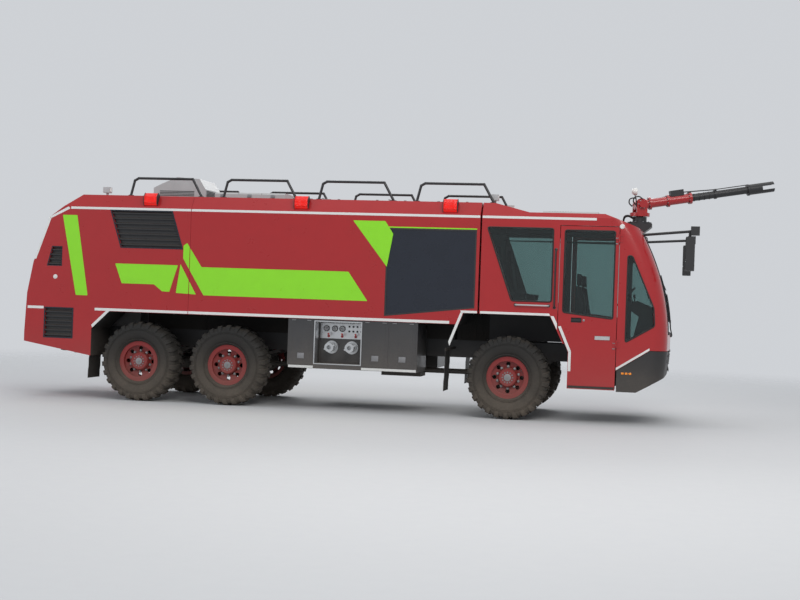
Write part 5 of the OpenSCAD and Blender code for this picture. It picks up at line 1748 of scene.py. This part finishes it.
# The reflectors take the glowing red lens finish, so they glow though they are no lamp: a painted glow.
finish_piece("tail_reflectors", reflectors, RED_LENS, smooth=True)
pin = bmesh.new()
jaw = at(-8.5 + 0.09, 0, 0.76)
for z, height in ((0.150, 0.012), (-0.008, 0.008)):
    add_revolve(pin, jaw + Vector((0, 0, z)), (0, 0, 1),
                [(0, 0.030), (0, 0.045), (height, 0.045), (height, 0.030)], 28, closed=True)
finish_piece("jaw_washers", pin, HUB, smooth=True)
print("towing jaw height", round(jaw.z, 3))

# %% [markdown]
# ## Cab inside
# Through the tinted glass one sees the seats, the wheel and the dashboard. A belt crosses each seat. It is a strip
# laid from point to point a little off the seat, because it is seen only through glass and needs no folds.

# %% Seat belts
belts = bmesh.new()
for seat_s, seat_y, seat_z in ((1.080, 0.650, 1.340), (-0.280, 0.900, 1.760)):
    for side in (1, -1):
        path = [(0.028, 0.13, 0.870), (0.085, 0.05, 0.60), (0.145, -0.10, 0.345), (0.16, -0.2, 0.335)]
        for (x0, y0, z0), (x1, y1, z1) in zip(path, path[1:]):
            a = at(seat_s + x0, side * (seat_y + y0), seat_z + z0)
            b = at(seat_s + x1, side * (seat_y + y1), seat_z + z1)
            run = (b - a).normalized()
            across = run.cross(Vector((1, 0, 0.3))).normalized() * 0.022
            lift = across.cross(run).normalized() * 0.0025
            lift = lift if lift.x > 0 or lift.z > 0 else -lift
            add_prism(belts, [a - across + lift, a + across + lift, b + across + lift, b - across + lift], lift)
finish_piece("seat_belts", belts, SEAL)
print("seat belts", 4)

# %% [markdown]
# The dashboard gets two blank screens in dark frames, a row of switches, three dials, a joystick for the monitor, and
# a console hangs from the ceiling. Rays put each part on the sloped face of the dashboard.

# %% Dashboard and roof console
dash = bmesh.new()
screens = bmesh.new()
for y in (0.10, -0.30):
    spot, normal = skin_point(("dashboard",), at(1.50, y, 1.915), (1, 0, 0))
    up = Vector((0, 1, 0)).cross(normal).normalized()
    up = up if up.z > 0 else -up
    for sheet, outline, base, thick in ((dash, band(-0.13, 0.13, -0.045, 0.13), 0.001, 0.016),
                                        (screens, band(-0.116, 0.116, -0.031, 0.116), 0.0172, 0.001)):
        add_prism(sheet, [spot + normal * base + Vector((0, a, 0)) + up * b for a, b in outline], normal * thick)
for k in range(10):
    y = -0.52 - k * 0.045
    spot = skin_point(("dashboard",), at(1.50, y, 1.905), (1, 0, 0))
    add_box(dash, spot[0] - Vector((0.008, 0.014, 0.010)), spot[0] + Vector((0.001, 0.014, 0.010)), 0.002)
for k in range(3):
    spot, normal = skin_point(("dashboard",), at(1.50, 0.56 + 0.09 * k, 1.910), (1, 0, 0))
    add_revolve(dash, spot, (-1, 0, 0.2), [(0, 0.036), (0.008, 0.036), (0.010, 0.032), (0.004, 0.030), (0.004, 0)], 24)
stick = skin_point(("dashboard",), at(1.99, -0.08, 2.6), (0, 0, -1))[0]
add_revolve(dash, stick, (-0.1, 0, 1), [(0, 0.032), (0.010, 0.030), (0.014, 0.010), (0.075, 0.009), (0.080, 0.017),
                                        (0.130, 0.019), (0.145, 0.012), (0.148, 0)], 18)
finish_piece("dash_fittings", dash, TRIM, smooth=True)
finish_piece("dash_screens", screens, DARK_PANEL)
console = bmesh.new()
ceiling = skin_point(("cab_shell",), at(1.25, 0.0, 2.6), (0, 0, 1))[0]
add_box(console, ceiling - Vector((0.16, 0.55, 0.075)), ceiling + Vector((0.16, 0.55, -0.001)), 0.012)
for k in range(9):
    y = -0.44 + k * 0.11
    add_box(console, ceiling + Vector((-0.168, y - 0.022, -0.055)), ceiling + Vector((-0.156, y + 0.022, -0.022)),
            0.003)
finish_piece("roof_console", console, TRIM)
print("ceiling at", round(ceiling.z, 3))

# %% [markdown]
# ## Studio
# A plain pale floor fades into a pale world, so that no horizon shows, and four large soft lights stand round it. A
# curved backdrop would do the same from one side only, while the fade holds for a camera on any side.

# %% Floor and lights
FADE_START, FADE_END = 8.5, 23.0
FLOOR_HALF = 60


def make_stage():
    skin = bpy.data.materials.new("pale_floor")
    skin.use_nodes = True
    tree = skin.node_tree
    shader = tree.nodes["Principled BSDF"]
    shader.inputs["Roughness"].default_value = 0.7
    place = tree.nodes.new("ShaderNodeTexCoord").outputs["Object"]
    grain = place_group(tree, GRAIN_GROUP, place, Scale=8.0)
    tree.links.new(mix_colour(tree, grain.outputs["Tone"], (0.66, 0.67, 0.69, 1), (0.70, 0.71, 0.72, 1)),
                   shader.inputs["Base Color"])
    away = tree.nodes.new("ShaderNodeVectorMath")
    away.operation = "LENGTH"
    tree.links.new(place, away.inputs[0])
    fade = tree.nodes.new("ShaderNodeMapRange")
    fade.interpolation_type = "SMOOTHSTEP"
    fade.inputs["From Min"].default_value = FADE_START
    fade.inputs["From Max"].default_value = FADE_END
    tree.links.new(away.outputs["Value"], fade.inputs["Value"])
    clear = tree.nodes.new("ShaderNodeBsdfTransparent")
    blend = tree.nodes.new("ShaderNodeMixShader")
    tree.links.new(fade.outputs["Result"], blend.inputs[0])
    tree.links.new(shader.outputs[0], blend.inputs[1])
    tree.links.new(clear.outputs[0], blend.inputs[2])
    tree.links.new(blend.outputs[0], tree.nodes["Material Output"].inputs["Surface"])
    floor = bpy.data.meshes.new("floor")
    corners = [(x * FLOOR_HALF, y * FLOOR_HALF, 0) for x, y in ((-1, -1), (1, -1), (1, 1), (-1, 1))]
    floor.from_pydata(corners, [], [(0, 1, 2, 3)])
    floor.materials.append(skin)
    stage = bpy.data.objects.new("floor", floor)
    bpy.context.scene.collection.objects.link(stage)


def area_light(name, position, target, size, power, colour=(1, 1, 1)):
    data = bpy.data.lights.new(name, "AREA")
    data.shape = "RECTANGLE"
    data.size, data.size_y = size
    data.energy = power
    data.color = colour
    lamp = bpy.data.objects.new(name, data)
    lamp.location = position
    lamp.rotation_euler = (Vector(target) - Vector(position)).to_track_quat("-Z", "Y").to_euler()
    bpy.context.scene.collection.objects.link(lamp)


make_stage()
area_light("key", (7, -15, 13), (0, 0, 1.5), (12, 8), 1500, (1.0, 0.98, 0.95))
area_light("fill", (-16, -10, 8), (0, 0, 1.5), (9, 7), 500, (0.92, 0.95, 1.0))
area_light("back", (-3, 16, 12), (0, 0, 2), (14, 6), 900)
area_light("top", (0, 0, 16), (0, 0, 0), (16, 10), 700)

# %% [markdown]
# The world lights the truck softly with one colour and shows the camera another, so that the backdrop can be as pale
# as the floor without flooding the paint. The kind of ray decides which of the two is used.

# %% World
BACKDROP = (0.62, 0.64, 0.67, 1)
SKY = (0.80, 0.83, 0.87, 1)
world = bpy.data.worlds.new("studio")
bpy.context.scene.world = world
world.use_nodes = True
tree = world.node_tree
background = tree.nodes["Background"]
background.inputs["Strength"].default_value = 0.42
background.inputs["Color"].default_value = SKY
backdrop = tree.nodes.new("ShaderNodeBackground")
backdrop.inputs["Color"].default_value = BACKDROP
backdrop.inputs["Strength"].default_value = 1.0
rays = tree.nodes.new("ShaderNodeLightPath")
seen = math_node(tree, "MAXIMUM", math_node(tree, "MAXIMUM", rays.outputs["Is Camera Ray"],
                                            rays.outputs["Is Glossy Ray"]), rays.outputs["Is Transmission Ray"])
blend = tree.nodes.new("ShaderNodeMixShader")
tree.links.new(seen, blend.inputs[0])
tree.links.new(background.outputs[0], blend.inputs[1])
tree.links.new(backdrop.outputs[0], blend.inputs[2])
tree.links.new(blend.outputs[0], tree.nodes["World Output"].inputs["Surface"])
print("world", world.name)

# %% [markdown]
# The camera looks from the angle of the photograph: about 11 degrees ahead of square to the right side, at eye
# height, with the small tilt of a picture taken by hand. The lens was chosen so that the truck fills the frame.

# %% Camera
CAMERA_TURN = 11.0
CAMERA_FAR = 24.0
CAMERA_HIGH = 1.85
CAMERA_ROLL = 2.0
camera = bpy.data.cameras.new("camera")
camera.lens = 61.0
camera.sensor_width = 36.0
camera_object = bpy.data.objects.new("camera", camera)
bpy.context.scene.collection.objects.link(camera_object)
AIM = Vector((0.0, 0.0, 1.9))
turn = math.radians(CAMERA_TURN)
camera_object.location = (AIM.x + CAMERA_FAR * math.sin(turn), AIM.y - CAMERA_FAR * math.cos(turn), CAMERA_HIGH)
aim = (AIM - camera_object.location).to_track_quat("-Z", "Y")
camera_object.rotation_euler = (aim @ Quaternion((0, 0, 1), math.radians(CAMERA_ROLL))).to_euler()
bpy.context.scene.camera = camera_object
bpy.context.scene.view_settings.view_transform = "Standard"
print("camera", [round(v, 2) for v in camera_object.location])
